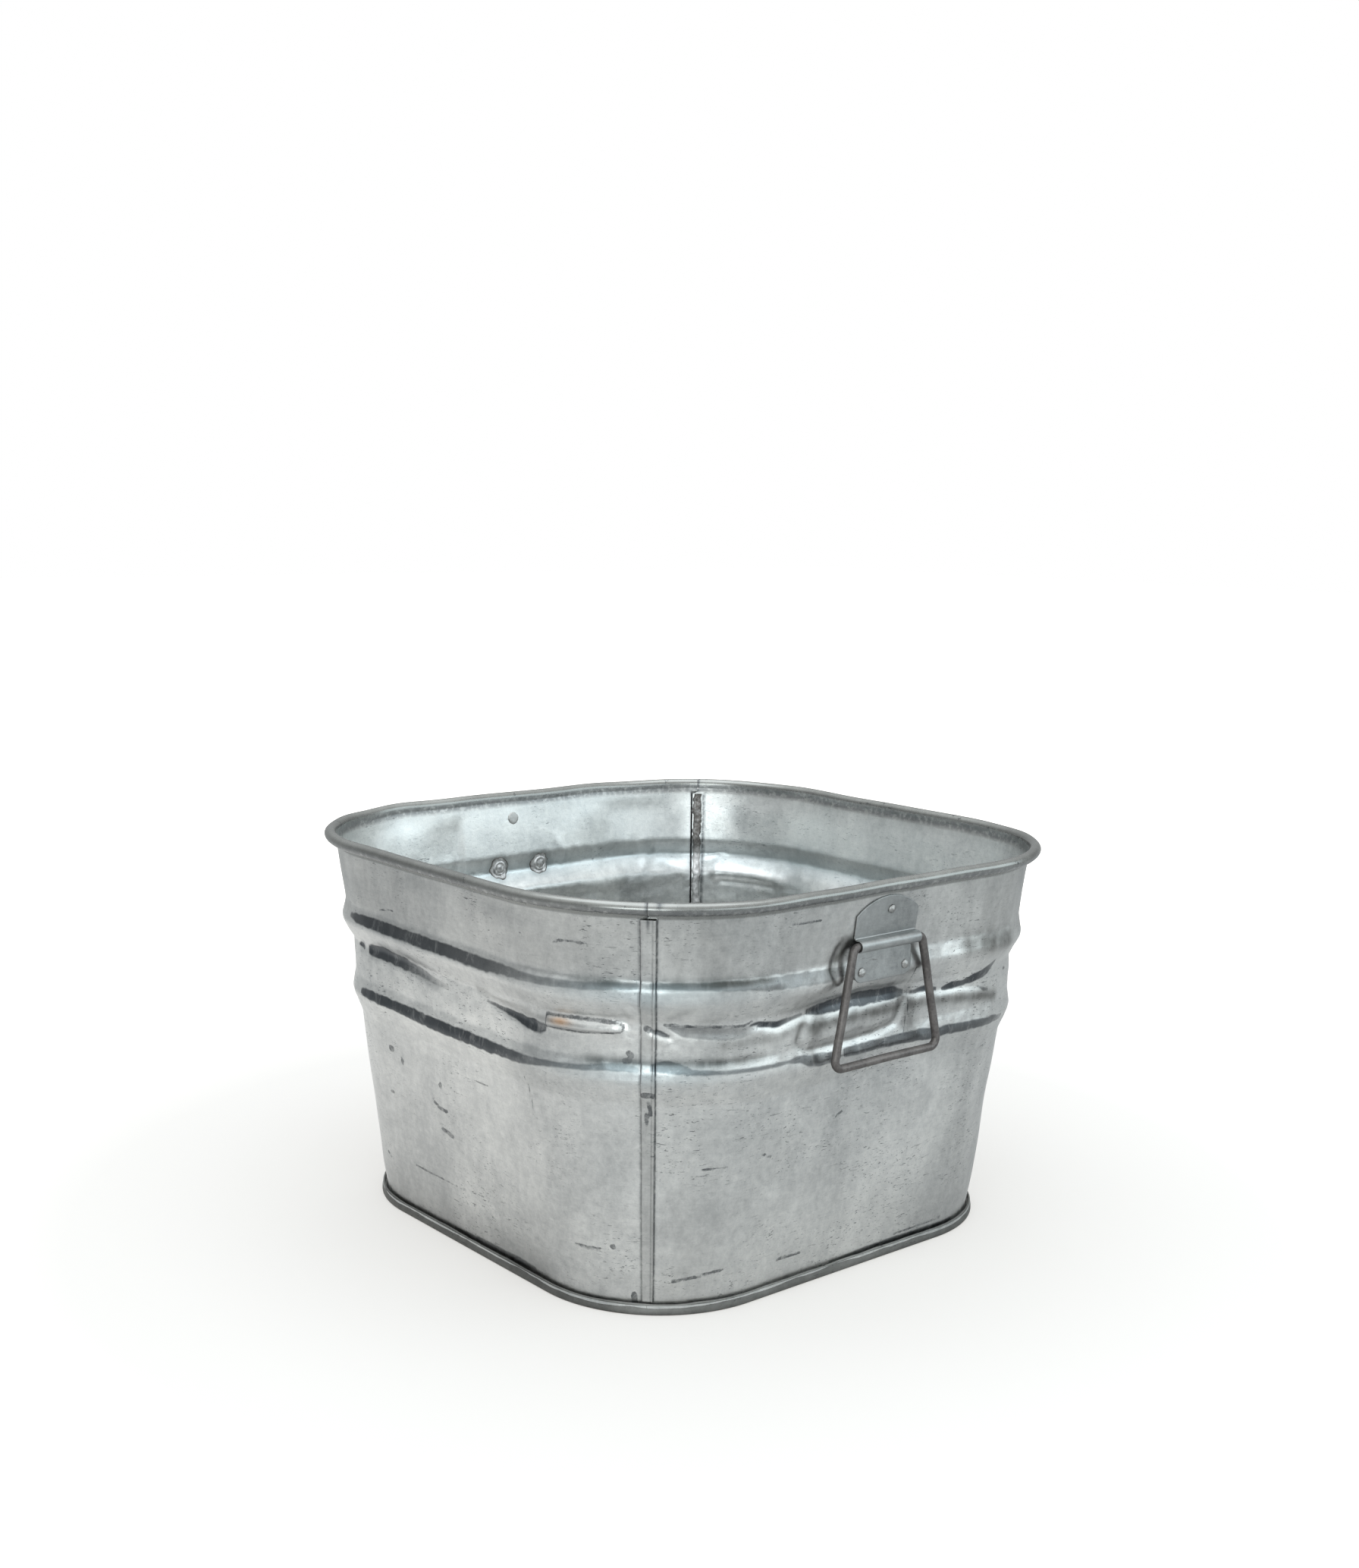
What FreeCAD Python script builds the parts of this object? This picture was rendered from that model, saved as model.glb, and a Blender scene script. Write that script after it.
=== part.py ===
"""Square galvanised steel tub, a florist's bucket, with a wired rim and two drop handles.

Frame: the origin is at the centre of the base, +Z is up, and the two handles hang on the +X and -X sides.
Lengths are in millimetres.

The tub is two identical bent sheets, locked together by a grooved seam at two opposite corners, the +X-Y one
and the -X+Y one. Each sheet is curled over a wire ring at the top and turned out at the bottom, where the edge
of the pan is folded round it. An ear on each of two sides is held by three rivets, and its rolled tunnel
carries the bent wire handle, which swings in it.

An outline is a list of (inset, z, radius) points: inset is how far inside the rim's outer edge the point lies,
z its height, and radius the bend there. It is the same all round the tub, so every ring is four straight
extrusions and four quarter turns about the corner centres.
"""

import FreeCAD
import Part

import math
import os

from FreeCAD import Vector

# Driving dimensions of the tub
WIDTH = 510.0  # over the rim, both ways
HEIGHT = 316.0
CORNER_RADIUS = 152.0  # of the rim's outer edge, in plan
SHEET = 0.55  # thickness of the body sheets and of the pan
GAP = 0.1  # between folded layers
RIM_RADIUS = 4.7  # of the curled rim's section
WIRE_PLAY = 0.15  # between the rim wire and the curl

# The body's outer face: bead, recessed band, bead, then the long taper to the base
WALL_TOP_INSET = 9.75
NECK_Z = 303.8
TAPER_FOOT_INSET = 50.16
BEADS = [
    (28.9, 163.0, 10.0),
    (21.6, 182.0, 8.0),
    (24.0, 196.0, 10.0),
    (22.9, 225.5, 5.0),
    (13.3, 242.5, 9.0),
    (16.4, 257.5, 10.0),
]

# The bottom seam: the pan's edge stands against the wall as a low outer ring
FOOT_INSET = 45.0
FOOT_HEIGHT = 8.4
FOOT_BEND = 1.4
FLANGE_TOP = 7.3
HOOK_END_Z = 4.5
PAN_LIFT = 6.0  # underside of the raised panel
PANEL_EDGE_INSET = 60.0

# The grooved corner seams
SEAM_WIDTH = 10.6
SEAM_TURN = 0.7  # degrees that the seam plane is turned about Z from the diagonal
SEAM_LOW, SEAM_HIGH = 9.5, 303.0
SEAM_ARC = 14.0  # degrees of corner swept before a layer is cut to width
SOLDER_LOW = 11.5
SOLDER_WIDTH = 9.0
SOLDER_THICK = 0.5

# The ears, as one of them stands on the +X side
EAR_SHEET = 1.2
EAR_SHIFT = -3.0  # the ear's middle, along Y
EAR_TOP, EAR_SHOULDER, EAR_FOOT = 302.7, 290.0, 239.0
EAR_HALF_WIDTH = 32.5
EAR_FOOT_HALF_WIDTH, EAR_FOOT_SHIFT = 29.7, -2.4
EAR_FOOT_RADIUS = 7.0
TUNNEL_HALF_LENGTH = 31.5
TUNNEL_BEND = 1.5

# The handles
PIVOT_X, PIVOT_Z = 245.4, 267.5
HANDLE_WIRE = 6.35
HANDLE_PLAY = 0.3  # between the wire and the tunnel
HANDLE_DROP = 89.1
HANDLE_TOP_HALF, HANDLE_FOOT_HALF, HANDLE_FOOT_SHIFT = 36.0, 55.2, 2.0
HANDLE_TOP_BEND, HANDLE_FOOT_BEND = 5.5, 6.5
HANDLE_END_GAP = 8.0  # between the wire's two ends, inside the tunnel

# The rivets
SHANK_RADIUS, HOLE_RADIUS = 2.4, 2.5
TAIL_RADIUS, TAIL_HEIGHT = 3.4, 1.9
TOP_HEAD_RADIUS, LOW_HEAD_RADIUS, HEAD_THICK = 5.5, 4.6, 1.1
TOP_RIVET_Z, TOP_RIVET_SHIFT = 292.0, 3.0
LOW_RIVET_Z, LOW_RIVET_HALF_SPACING, LOW_RIVET_SHIFT = 247.0, 23.0, -2.0
LOW_HEAD_X = 239.1  # underside of a lower rivet's head, clear of the bead's flanks
SOLDER_CAP_RADIUS, SOLDER_CAP_HEIGHT = 10.0, 4.6
SOLDER_CAP_BASE_X = 241.0

# Worked out from the above
CORNER_CENTRE = WIDTH / 2 - CORNER_RADIUS
RIM_CENTRE = (RIM_RADIUS, HEIGHT - RIM_RADIUS)
CURL_INSIDE = RIM_RADIUS - SHEET
WALL_SLOPE = (BEADS[-1][0] - WALL_TOP_INSET) / (NECK_Z - BEADS[-1][1])
TOP_TILT = math.degrees(math.atan(WALL_SLOPE))
LAYER = SHEET + GAP
Z_AXIS = Vector(0, 0, 1)


def wall_x(z):
    """X of the upper wall's outer face on the +X side, above the beads."""
    return WIDTH / 2 - WALL_TOP_INSET - WALL_SLOPE * (NECK_Z - z)


# ---- outlines ------------------------------------------------------------------------------------------


def section(outline):
    """The outline with each inset turned into a distance outward from the corner centre."""
    return [(CORNER_RADIUS - inset, z, radius) for inset, z, radius in outline]


def unit(a, b):
    length = math.hypot(b[0] - a[0], b[1] - a[1])
    return (b[0] - a[0]) / length, (b[1] - a[1]) / length


def offset(line, distance):
    """The line moved to its left by a distance, with each bend's radius changed to match."""
    moved = []
    for i, (x, z, radius) in enumerate(line):
        before = unit(line[i - 1], line[i]) if i else unit(line[0], line[1])
        after = unit(line[i], line[i + 1]) if i + 1 < len(line) else before
        turn = before[0] * after[1] - before[1] * after[0]
        share = 1.0 + before[0] * after[0] + before[1] * after[1]
        normal = (-(before[1] + after[1]) / share, (before[0] + after[0]) / share)
        moved.append(
            (
                x + normal[0] * distance,
                z + normal[1] * distance,
                radius - math.copysign(distance, turn) if radius else 0.0,
            )
        )
    return moved


def edges(line):
    """Lines and tangent arcs along a list of (x, z, radius) points, in the XZ plane."""
    found, last = [], Vector(line[0][0], 0, line[0][1])
    for before, corner, after in zip(line, line[1:], line[2:]):
        at, radius = Vector(corner[0], 0, corner[1]), corner[2]
        back = (Vector(before[0], 0, before[1]) - at).normalize()
        ahead = (Vector(after[0], 0, after[1]) - at).normalize()
        half = back.getAngle(ahead) / 2
        start, end = at + back * (radius / math.tan(half)), at + ahead * (radius / math.tan(half))
        middle = at + (back + ahead).normalize() * (radius / math.sin(half) - radius)
        if (start - last).Length > 1e-6:
            found.append(Part.LineSegment(last, start).toShape())
        found.append(Part.Arc(start, middle, end).toShape())
        last = end
    found.append(Part.LineSegment(last, Vector(line[-1][0], 0, line[-1][1])).toShape())
    return found


def strip(line, right, left):
    """The flat face between two offsets of a line, with square ends."""
    one, other = offset(line, right), offset(line, left)
    ends = [
        Part.LineSegment(Vector(a[0], 0, a[1]), Vector(b[0], 0, b[1])).toShape()
        for a, b in ((one[0], other[0]), (one[-1], other[-1]))
    ]
    return Part.Face(Part.Wire(Part.__sortEdges__(edges(one) + edges(other) + ends)))


def around(face):
    """A closed ring with that section: straight along the four sides and turned about the four corners."""
    quarter = face.copy()
    quarter.rotate(Vector(), Z_AXIS, -90)
    quarter = quarter.revolve(Vector(), Z_AXIS, 90)
    quarter.translate(Vector(CORNER_CENTRE, -CORNER_CENTRE, 0))
    side = face.copy()
    side.translate(Vector(CORNER_CENTRE, -CORNER_CENTRE, 0))
    side = side.extrude(Vector(0, 2 * CORNER_CENTRE, 0))
    pieces = []
    for turn in (0, 90, 180, 270):
        for piece in (quarter, side):
            turned = piece.copy()
            turned.rotate(Vector(), Z_AXIS, turn)
            pieces.append(turned)
    return pieces[0].multiFuse(pieces[1:]).removeSplitter()


def wall_line():
    return section([(TAPER_FOOT_INSET, SHEET * 2 + GAP, 0.0), *BEADS, (WALL_TOP_INSET, NECK_Z, 0.0)])


def body_line():
    """The outer face of a body sheet: the flange inside the bottom seam, the wall, and the curl."""
    base = 2 * SHEET + GAP
    flange = FOOT_INSET + 2 * SHEET + GAP
    curl_in, curl_out = RIM_RADIUS + CURL_INSIDE, SHEET
    curl_top, curl_foot = HEIGHT - SHEET, HEIGHT - 2 * RIM_RADIUS + SHEET
    return section(
        [
            (flange, FLANGE_TOP, 0.0),
            (flange, base, base),
            (TAPER_FOOT_INSET, base, base),
            *BEADS,
            (WALL_TOP_INSET, NECK_Z, 3.0),
            (curl_in, NECK_Z + 2.7, 3.0),
            (curl_in, curl_top, CURL_INSIDE),
            (curl_out, curl_top, CURL_INSIDE),
            (curl_out, curl_foot, CURL_INSIDE),
            (curl_in - 1.3, curl_foot, 0.0),
        ]
    )


def pan_line():
    """The outer face of the pan's edge: panel, step down, foot, and the hook over the body's flange."""
    step = TAPER_FOOT_INSET + 2 * SHEET + 2 * GAP
    hook = FOOT_INSET + 3 * SHEET + 2 * GAP
    return section(
        [
            (PANEL_EDGE_INSET, PAN_LIFT, 0.0),
            (step, PAN_LIFT, 1.2),
            (step, 0.0, FOOT_BEND),
            (FOOT_INSET, 0.0, FOOT_BEND),
            (FOOT_INSET, FOOT_HEIGHT, (hook - FOOT_INSET) / 2),
            (hook, FOOT_HEIGHT, (hook - FOOT_INSET) / 2),
            (hook, HOOK_END_Z, 0.0),
        ]
    )


# ---- cutting tools -------------------------------------------------------------------------------------


def seam_slab(low, high, side, bottom=-1.0, top=HEIGHT + 1.0):
    """All space whose distance from the seam plane, towards +X+Y, is from low to high, on one side of the
    axis: side 1 holds the +X-Y corner and side -1 the -X+Y corner."""
    reach = WIDTH
    slab = Part.makeBox(high - low, reach, top - bottom, Vector(low, -reach if side > 0 else 0, bottom))
    slab.rotate(Vector(), Z_AXIS, 45 + SEAM_TURN)
    return slab


def seam_layer(inner, outer, low, high, side, bottom=SEAM_LOW):
    """One folded layer of a corner seam: the wall between two outward offsets, cut to a width."""
    face = strip(wall_line(), -outer, -inner)
    face.rotate(Vector(), Z_AXIS, -45 - SEAM_ARC / 2)
    layer = face.revolve(Vector(), Z_AXIS, SEAM_ARC)
    layer.translate(Vector(CORNER_CENTRE, -CORNER_CENTRE, 0))
    if side < 0:
        layer.rotate(Vector(), Z_AXIS, 180)
    return layer.common(seam_slab(low, high, side, bottom, SEAM_HIGH))


def half_turn(shape):
    turned = shape.copy()
    turned.rotate(Vector(), Z_AXIS, 180)
    return turned


def along_x(shape, x, y, z, tilt=0.0):
    """A shape built along +Z, laid along +X with its origin at a point, its outer end tilted down."""
    shape.rotate(Vector(), Vector(0, 1, 0), 90 + tilt)
    shape.translate(Vector(x, y, z))
    return shape


# ---- the body ------------------------------------------------------------------------------------------


def cover_layers(near):
    """The edge of a sheet that steps out over the seam, passes across it and folds back underneath."""
    half, third = SEAM_WIDTH / 2, 3 * LAYER
    first = LAYER
    return [
        seam_layer(-SHEET, third, half, half + SHEET, near),
        seam_layer(third - SHEET, third, -half, half + SHEET, near),
        seam_layer(first - SHEET, third, -half, -half + SHEET, near),
        seam_layer(first - SHEET, first, -half, half - SHEET - 2 * GAP, near),
    ]


def under_layers(far):
    """The edge of a sheet that runs under the seam and folds back outward, inside the other's fold."""
    half, second = SEAM_WIDTH / 2, 2 * LAYER
    return [
        seam_layer(-SHEET, 0.0, GAP - half, half, far),
        seam_layer(-SHEET, second, GAP - half, GAP - half + SHEET, far),
        seam_layer(second - SHEET, second, GAP - half, half - SHEET - GAP, far),
    ]


def rivet_holes():
    holes = [top_rivet_place(Part.makeCylinder(HOLE_RADIUS, 12, Vector(0, 0, -6)))]
    for y in low_rivet_ys():
        holes.append(along_x(Part.makeCylinder(HOLE_RADIUS, 12), LOW_HEAD_X - 4, y, LOW_RIVET_Z))
    return holes


def body_half():
    """The sheet on the +X+Y side. It covers the seam at the +X-Y corner and runs under the other."""
    ring = around(strip(body_line(), 0.0, SHEET))
    sheet = ring.common(seam_slab(GAP / 2, WIDTH, 1).fuse(seam_slab(GAP / 2, WIDTH, -1)).removeSplitter())
    sheet = sheet.cut(seam_slab(-WIDTH, SEAM_WIDTH / 2, 1, SEAM_LOW, SEAM_HIGH))
    sheet = sheet.multiFuse(cover_layers(1) + under_layers(-1))
    for hole in rivet_holes():
        sheet = sheet.cut(hole)
    return sheet.removeSplitter()


def rim_wire():
    circle = Part.Wire(
        Part.makeCircle(
            CURL_INSIDE - WIRE_PLAY,
            Vector(CORNER_RADIUS - RIM_CENTRE[0], 0, RIM_CENTRE[1]),
            Vector(0, 1, 0),
        )
    )
    return around(Part.Face(circle))


def pan():
    """The bottom sheet: the raised flat panel and the folded edge round it."""
    edge = around(strip(pan_line(), 0.0, SHEET))
    half, radius = WIDTH / 2 - PANEL_EDGE_INSET, CORNER_RADIUS - PANEL_EDGE_INSET
    panel = Part.makeBox(2 * half, 2 * half, SHEET, Vector(-half, -half, PAN_LIFT))
    upright = [e for e in panel.Edges if abs(e.tangentAt(e.FirstParameter).z) > 0.9]
    return edge.fuse(panel.makeFillet(radius, upright)).removeSplitter()


def seam_solder():
    """The smear of solder down the inside of the +X-Y corner's seam."""
    inner = -SHEET - 0.05
    return seam_layer(inner - SOLDER_THICK, inner, -SOLDER_WIDTH / 2, SOLDER_WIDTH / 2, 1, SOLDER_LOW)


def bottom_solder():
    """The fillet of solder round the inside of the bottom seam."""
    floor, rise, reach, play = PAN_LIFT + SHEET + GAP, 4.5, 4.5, SHEET + 0.05
    slope = (TAPER_FOOT_INSET - BEADS[0][0]) / (BEADS[0][1] - 2 * SHEET - GAP)
    foot = TAPER_FOOT_INSET - slope * (floor - 2 * SHEET - GAP) + play
    points = [(foot, floor), (foot + reach, floor), (foot - slope * rise, floor + rise)]
    corners = [Vector(CORNER_RADIUS - inset, 0, z) for inset, z in points]
    return around(Part.Face(Part.makePolygon([*corners, corners[0]])))


# ---- the ears, their rivets and solder -----------------------------------------------------------------


def ear():
    """The stamped ear: a tab against the wall, a rolled tunnel for the handle, and a foot on the bead."""
    half_sheet = EAR_SHEET / 2
    reach = HANDLE_WIRE / 2 + HANDLE_PLAY + half_sheet
    low_x = WIDTH / 2 - BEADS[4][0] + GAP + half_sheet
    lift = (half_sheet + 0.05) * math.hypot(1, WALL_SLOPE)
    line = [
        (low_x, EAR_FOOT, 0.0),
        (low_x, PIVOT_Z - reach, TUNNEL_BEND),
        (PIVOT_X + reach, PIVOT_Z - reach, reach),
        (PIVOT_X + reach, PIVOT_Z + reach, reach),
        (wall_x(PIVOT_Z + reach) + lift, PIVOT_Z + reach, TUNNEL_BEND),
        (wall_x(EAR_TOP + 1) + lift, EAR_TOP + 1, 0.0),
    ]
    blank = strip(line, -half_sheet, half_sheet)
    blank.translate(Vector(0, EAR_SHIFT - 2 * EAR_HALF_WIDTH, 0))
    blank = blank.extrude(Vector(0, 4 * EAR_HALF_WIDTH, 0))
    shaped = blank.common(ear_outline())
    for hole in rivet_holes():
        shaped = shaped.cut(hole)
    return shaped


def ear_outline():
    """A block along X with the ear's outline: arched tab, tunnel and round-cornered foot."""
    start, depth = 230.0, 40.0
    arch_left = Vector(start, EAR_SHIFT - EAR_HALF_WIDTH, EAR_SHOULDER)
    arch_right = Vector(start, EAR_SHIFT + EAR_HALF_WIDTH, EAR_SHOULDER)
    arch = Part.Arc(arch_left, Vector(start, EAR_SHIFT, EAR_TOP), arch_right).toShape()
    waist = PIVOT_Z + HANDLE_WIRE / 2 + HANDLE_PLAY + EAR_SHEET
    corners = [
        Vector(start, EAR_SHIFT + EAR_HALF_WIDTH, waist),
        Vector(start, EAR_SHIFT - EAR_HALF_WIDTH, waist),
    ]
    tab = Part.Face(Part.Wire([arch, *Part.makePolygon([arch_right, *corners, arch_left]).Edges]))
    tunnel_foot = 2 * PIVOT_Z - waist
    tunnel = Part.makeBox(
        depth,
        2 * TUNNEL_HALF_LENGTH,
        waist - tunnel_foot,
        Vector(start, EAR_SHIFT - TUNNEL_HALF_LENGTH, tunnel_foot),
    )
    foot = Part.makeBox(
        depth,
        2 * EAR_FOOT_HALF_WIDTH,
        tunnel_foot - EAR_FOOT,
        Vector(start, EAR_SHIFT + EAR_FOOT_SHIFT - EAR_FOOT_HALF_WIDTH, EAR_FOOT),
    )
    low = [e for e in foot.Edges if e.BoundBox.XLength > depth - 1 and e.BoundBox.ZMax < EAR_FOOT + 1]
    foot = foot.makeFillet(EAR_FOOT_RADIUS, low)
    return tab.extrude(Vector(depth, 0, 0)).multiFuse([tunnel, foot])


def low_rivet_ys():
    middle = EAR_SHIFT + LOW_RIVET_SHIFT
    return [middle - LOW_RIVET_HALF_SPACING, middle + LOW_RIVET_HALF_SPACING]


def top_rivet_place(shape):
    """A shape built on the wall's outer face along +Z, moved to the top rivet's place."""
    return along_x(shape, wall_x(TOP_RIVET_Z), EAR_SHIFT + TOP_RIVET_SHIFT, TOP_RIVET_Z, TOP_TILT)


def rivet(head_radius, head_z, tail_z):
    """A rivet along +Z: flat head inside, up to head_z, and a peened dome outside, from tail_z."""
    edge = HEAD_THICK * 0.4
    points = [
        Vector(0, 0, head_z - HEAD_THICK),
        Vector(head_radius - edge, 0, head_z - HEAD_THICK),
        Vector(head_radius, 0, head_z - HEAD_THICK + edge),
        Vector(head_radius, 0, head_z),
        Vector(SHANK_RADIUS, 0, head_z),
        Vector(SHANK_RADIUS, 0, tail_z),
        Vector(TAIL_RADIUS, 0, tail_z),
    ]
    tip = Vector(0, 0, tail_z + TAIL_HEIGHT)
    ball_radius = (TAIL_RADIUS**2 + TAIL_HEIGHT**2) / (2 * TAIL_HEIGHT)
    ball_z = tip.z - ball_radius
    angle = math.asin(TAIL_RADIUS / ball_radius) / 2
    shoulder = Vector(ball_radius * math.sin(angle), 0, ball_z + ball_radius * math.cos(angle))
    dome = Part.Arc(points[-1], shoulder, tip).toShape()
    outline = Part.Wire([*Part.makePolygon(points).Edges, dome, Part.makePolygon([tip, points[0]]).Edges[0]])
    return Part.Face(outline).revolve(Vector(), Z_AXIS, 360)


def top_rivet():
    grip = 0.05 + EAR_SHEET + 0.03
    return top_rivet_place(rivet(TOP_HEAD_RADIUS, -SHEET - 0.03, grip))


def low_rivet(y):
    outside = WIDTH / 2 - BEADS[4][0] + GAP + EAR_SHEET + 0.03
    return along_x(rivet(LOW_HEAD_RADIUS, 0.0, outside - LOW_HEAD_X), LOW_HEAD_X, y, LOW_RIVET_Z)


def solder_cap(y, body):
    """The blob of solder over a lower rivet's head, run out against the inside of the bead."""
    radius, height = SOLDER_CAP_RADIUS, SOLDER_CAP_HEIGHT
    ball_radius = (radius**2 + height**2) / (2 * height)
    dome = Part.makeSphere(ball_radius, Vector(0, 0, ball_radius - height))
    dome = dome.common(Part.makeBox(40, 40, height, Vector(-20, -20, -height)))
    dome = along_x(dome, SOLDER_CAP_BASE_X, y, LOW_RIVET_Z)
    left_over = dome.cut(body).cut(low_rivet(y))
    return min(left_over.Solids, key=lambda s: s.CenterOfMass.x)


# ---- the handle ----------------------------------------------------------------------------------------


def handle():
    """The bent wire: its two ends meet inside the tunnel, and it hangs straight down from them."""
    foot = PIVOT_Z - HANDLE_DROP
    line = [
        (-HANDLE_END_GAP / 2, PIVOT_Z, 0.0),
        (-HANDLE_TOP_HALF, PIVOT_Z, HANDLE_TOP_BEND),
        (HANDLE_FOOT_SHIFT - HANDLE_FOOT_HALF, foot, HANDLE_FOOT_BEND),
        (HANDLE_FOOT_SHIFT + HANDLE_FOOT_HALF, foot, HANDLE_FOOT_BEND),
        (HANDLE_TOP_HALF, PIVOT_Z, HANDLE_TOP_BEND),
        (HANDLE_END_GAP / 2, PIVOT_Z, 0.0),
    ]
    path = Part.Wire(edges(line))
    start = Vector(line[0][0], 0, line[0][1])
    wire = Part.Wire(Part.makeCircle(HANDLE_WIRE / 2, start, Vector(1, 0, 0)))
    bar = path.makePipeShell([wire], True, False)
    bar.rotate(Vector(), Z_AXIS, 90)
    bar.translate(Vector(PIVOT_X, EAR_SHIFT, 0))
    return bar


# ---- assembly ------------------------------------------------------------------------------------------


def build():
    body = body_half()
    nodes = {
        "body_half_right": body,
        "body_half_left": half_turn(body),
        "rim_wire": rim_wire(),
        "bottom_pan": pan(),
        "bottom_seam_solder": bottom_solder(),
        "near_seam_solder": seam_solder(),
        "far_seam_solder": half_turn(seam_solder()),
    }
    front_y, back_y = low_rivet_ys()
    one_side = {
        "ear": ear(),
        "handle": handle(),
        "ear_top_rivet": top_rivet(),
        "ear_front_rivet": low_rivet(front_y),
        "ear_back_rivet": low_rivet(back_y),
        "front_rivet_solder": solder_cap(front_y, body),
        "back_rivet_solder": solder_cap(back_y, body),
    }
    for name, shape in one_side.items():
        nodes[name + "_right"] = shape
        nodes[name + "_left"] = half_turn(shape)
    return nodes


def main():
    os.makedirs("parts", exist_ok=True)
    for name, shape in build().items():
        if not shape.isValid() or len(shape.Solids) != 1:
            print("check", name, "valid", shape.isValid(), "solids", len(shape.Solids))
        shape.Solids[0].exportStep(f"parts/{name}.step")


main()
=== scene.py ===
import math

import bpy
import numpy as np
from mathutils import Matrix, Vector


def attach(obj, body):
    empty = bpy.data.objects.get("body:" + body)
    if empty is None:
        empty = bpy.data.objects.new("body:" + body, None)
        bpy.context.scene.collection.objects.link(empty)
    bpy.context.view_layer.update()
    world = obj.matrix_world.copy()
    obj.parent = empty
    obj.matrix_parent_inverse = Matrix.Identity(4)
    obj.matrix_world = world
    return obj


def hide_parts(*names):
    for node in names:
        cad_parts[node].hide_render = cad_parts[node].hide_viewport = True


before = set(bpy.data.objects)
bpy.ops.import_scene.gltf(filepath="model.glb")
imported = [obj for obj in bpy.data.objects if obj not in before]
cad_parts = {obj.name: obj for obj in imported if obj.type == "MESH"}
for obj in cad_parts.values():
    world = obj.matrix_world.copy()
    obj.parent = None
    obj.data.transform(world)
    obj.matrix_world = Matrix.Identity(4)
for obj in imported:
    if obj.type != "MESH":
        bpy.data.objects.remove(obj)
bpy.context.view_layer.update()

MM = 0.001  # lengths below are in millimetres

# The tub's own sizes, as the CAD has them. An outline is a list of (inset, z, bend radius) points, where
# inset is how far inside the rim's outer edge a point lies.
HALF_WIDTH = 255.0
CORNER_RADIUS = 152.0
CORNER_CENTRE = HALF_WIDTH - CORNER_RADIUS
SHEET = 0.55
HEIGHT = 316.0
RIM_RADIUS, RIM_WIRE = 4.7, 3.95  # of the curl and of the wire in it
NECK_Z = 303.8
WALL_TOP_INSET = 9.75
BEADS = [
    (28.9, 163.0, 10.0),
    (21.6, 182.0, 8.0),
    (24.0, 196.0, 10.0),
    (22.9, 225.5, 5.0),
    (13.3, 242.5, 9.0),
    (16.4, 257.5, 10.0),
]
BODY_LINE = [
    (46.2, 7.3, 0.0),
    (46.2, 1.2, 1.2),
    (50.16, 1.2, 1.2),
    *BEADS,
    (WALL_TOP_INSET, NECK_Z, 3.0),
    (8.85, 306.5, 3.0),
    (8.85, 315.45, 4.15),
    (0.55, 315.45, 4.15),
    (0.55, 307.15, 4.15),
    (7.55, 307.15, 0.0),
]
PAN_LINE = [
    (60.0, 6.0, 0.0),
    (51.46, 6.0, 1.2),
    (51.46, 0.0, 1.4),
    (45.0, 0.0, 1.4),
    (45.0, 8.4, 0.92),
    (46.85, 8.4, 0.92),
    (46.85, 4.5, 0.0),
]
SEAM_WIDTH = 10.6
SEAM_TURN = 0.7  # degrees
SEAM_LOW = 9.5  # the seam is folded from here up to the rim's curl
COVER_HEIGHT = 1.95  # how proud of the wall a seam's outer layer stands
COVER_EDGE_HEIGHT = 0.62  # and how proud its folded edge does

# Distance round the loop is measured on a loop whose corners have this radius, from the +X-Y diagonal,
# counterclockwise seen from above.
LOOP_RADIUS = 132.0
QUARTER = LOOP_RADIUS * math.pi / 2
STRAIGHT = 2 * CORNER_CENTRE
LOOP = 4 * (QUARTER + STRAIGHT)
NEAR_SEAM = math.radians(SEAM_TURN) * (CORNER_CENTRE * math.sqrt(2) + LOOP_RADIUS)
FAR_SEAM = NEAR_SEAM + LOOP / 2 + 3.6  # a little off the near seam's plane
WINDOW_START = -560.0  # on the -X side, clear of every dent below

# The ears and handles, as one of them stands on the +X side
EAR_SHEET = 1.2
EAR_SHIFT = -3.0
EAR_TOP, EAR_SHOULDER, EAR_FOOT = 302.7, 290.0, 239.0
EAR_HALF_WIDTH = 32.5
EAR_FOOT_HALF_WIDTH, EAR_FOOT_SHIFT = 29.7, -2.4
EAR_FOOT_RADIUS = 7.0
TUNNEL_HALF_LENGTH, TUNNEL_BEND = 31.5, 1.5
PIVOT_X, PIVOT_Z = 245.4, 267.5
HANDLE_WIRE, HANDLE_PLAY = 6.35, 0.3
HANDLE_DROP = 89.1
HANDLE_TOP_HALF, HANDLE_FOOT_HALF, HANDLE_FOOT_SHIFT = 36.0, 55.2, 2.0
HANDLE_TOP_BEND, HANDLE_FOOT_BEND = 5.5, 6.5
HANDLE_END_GAP = 8.0
TOP_RIVET_Z, TOP_RIVET_Y = 292.0, 0.0
LOW_RIVET_Z, LOW_RIVET_YS, LOW_HEAD_X = 247.0, (-28.0, 18.0), 239.1
BLOB_RADIUS = 10.4  # of the solder over a lower rivet's head
WALL_SLOPE = (BEADS[-1][0] - WALL_TOP_INSET) / (NECK_Z - BEADS[-1][1])
SIDE_S = QUARTER / 2 + CORNER_CENTRE  # the middle of the +X side, as a distance round the loop
EAR_S = SIDE_S + EAR_SHIFT


def smooth(x, low, high):
    """0 at low and 1 at high, eased at both ends."""
    t = np.clip((x - low) / (high - low), 0.0, 1.0)
    return t * t * (3 - 2 * t)


def bell(distance, width):
    """1 at no distance, fading to nothing about two widths away."""
    return np.exp(-((distance / width) ** 2))


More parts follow.
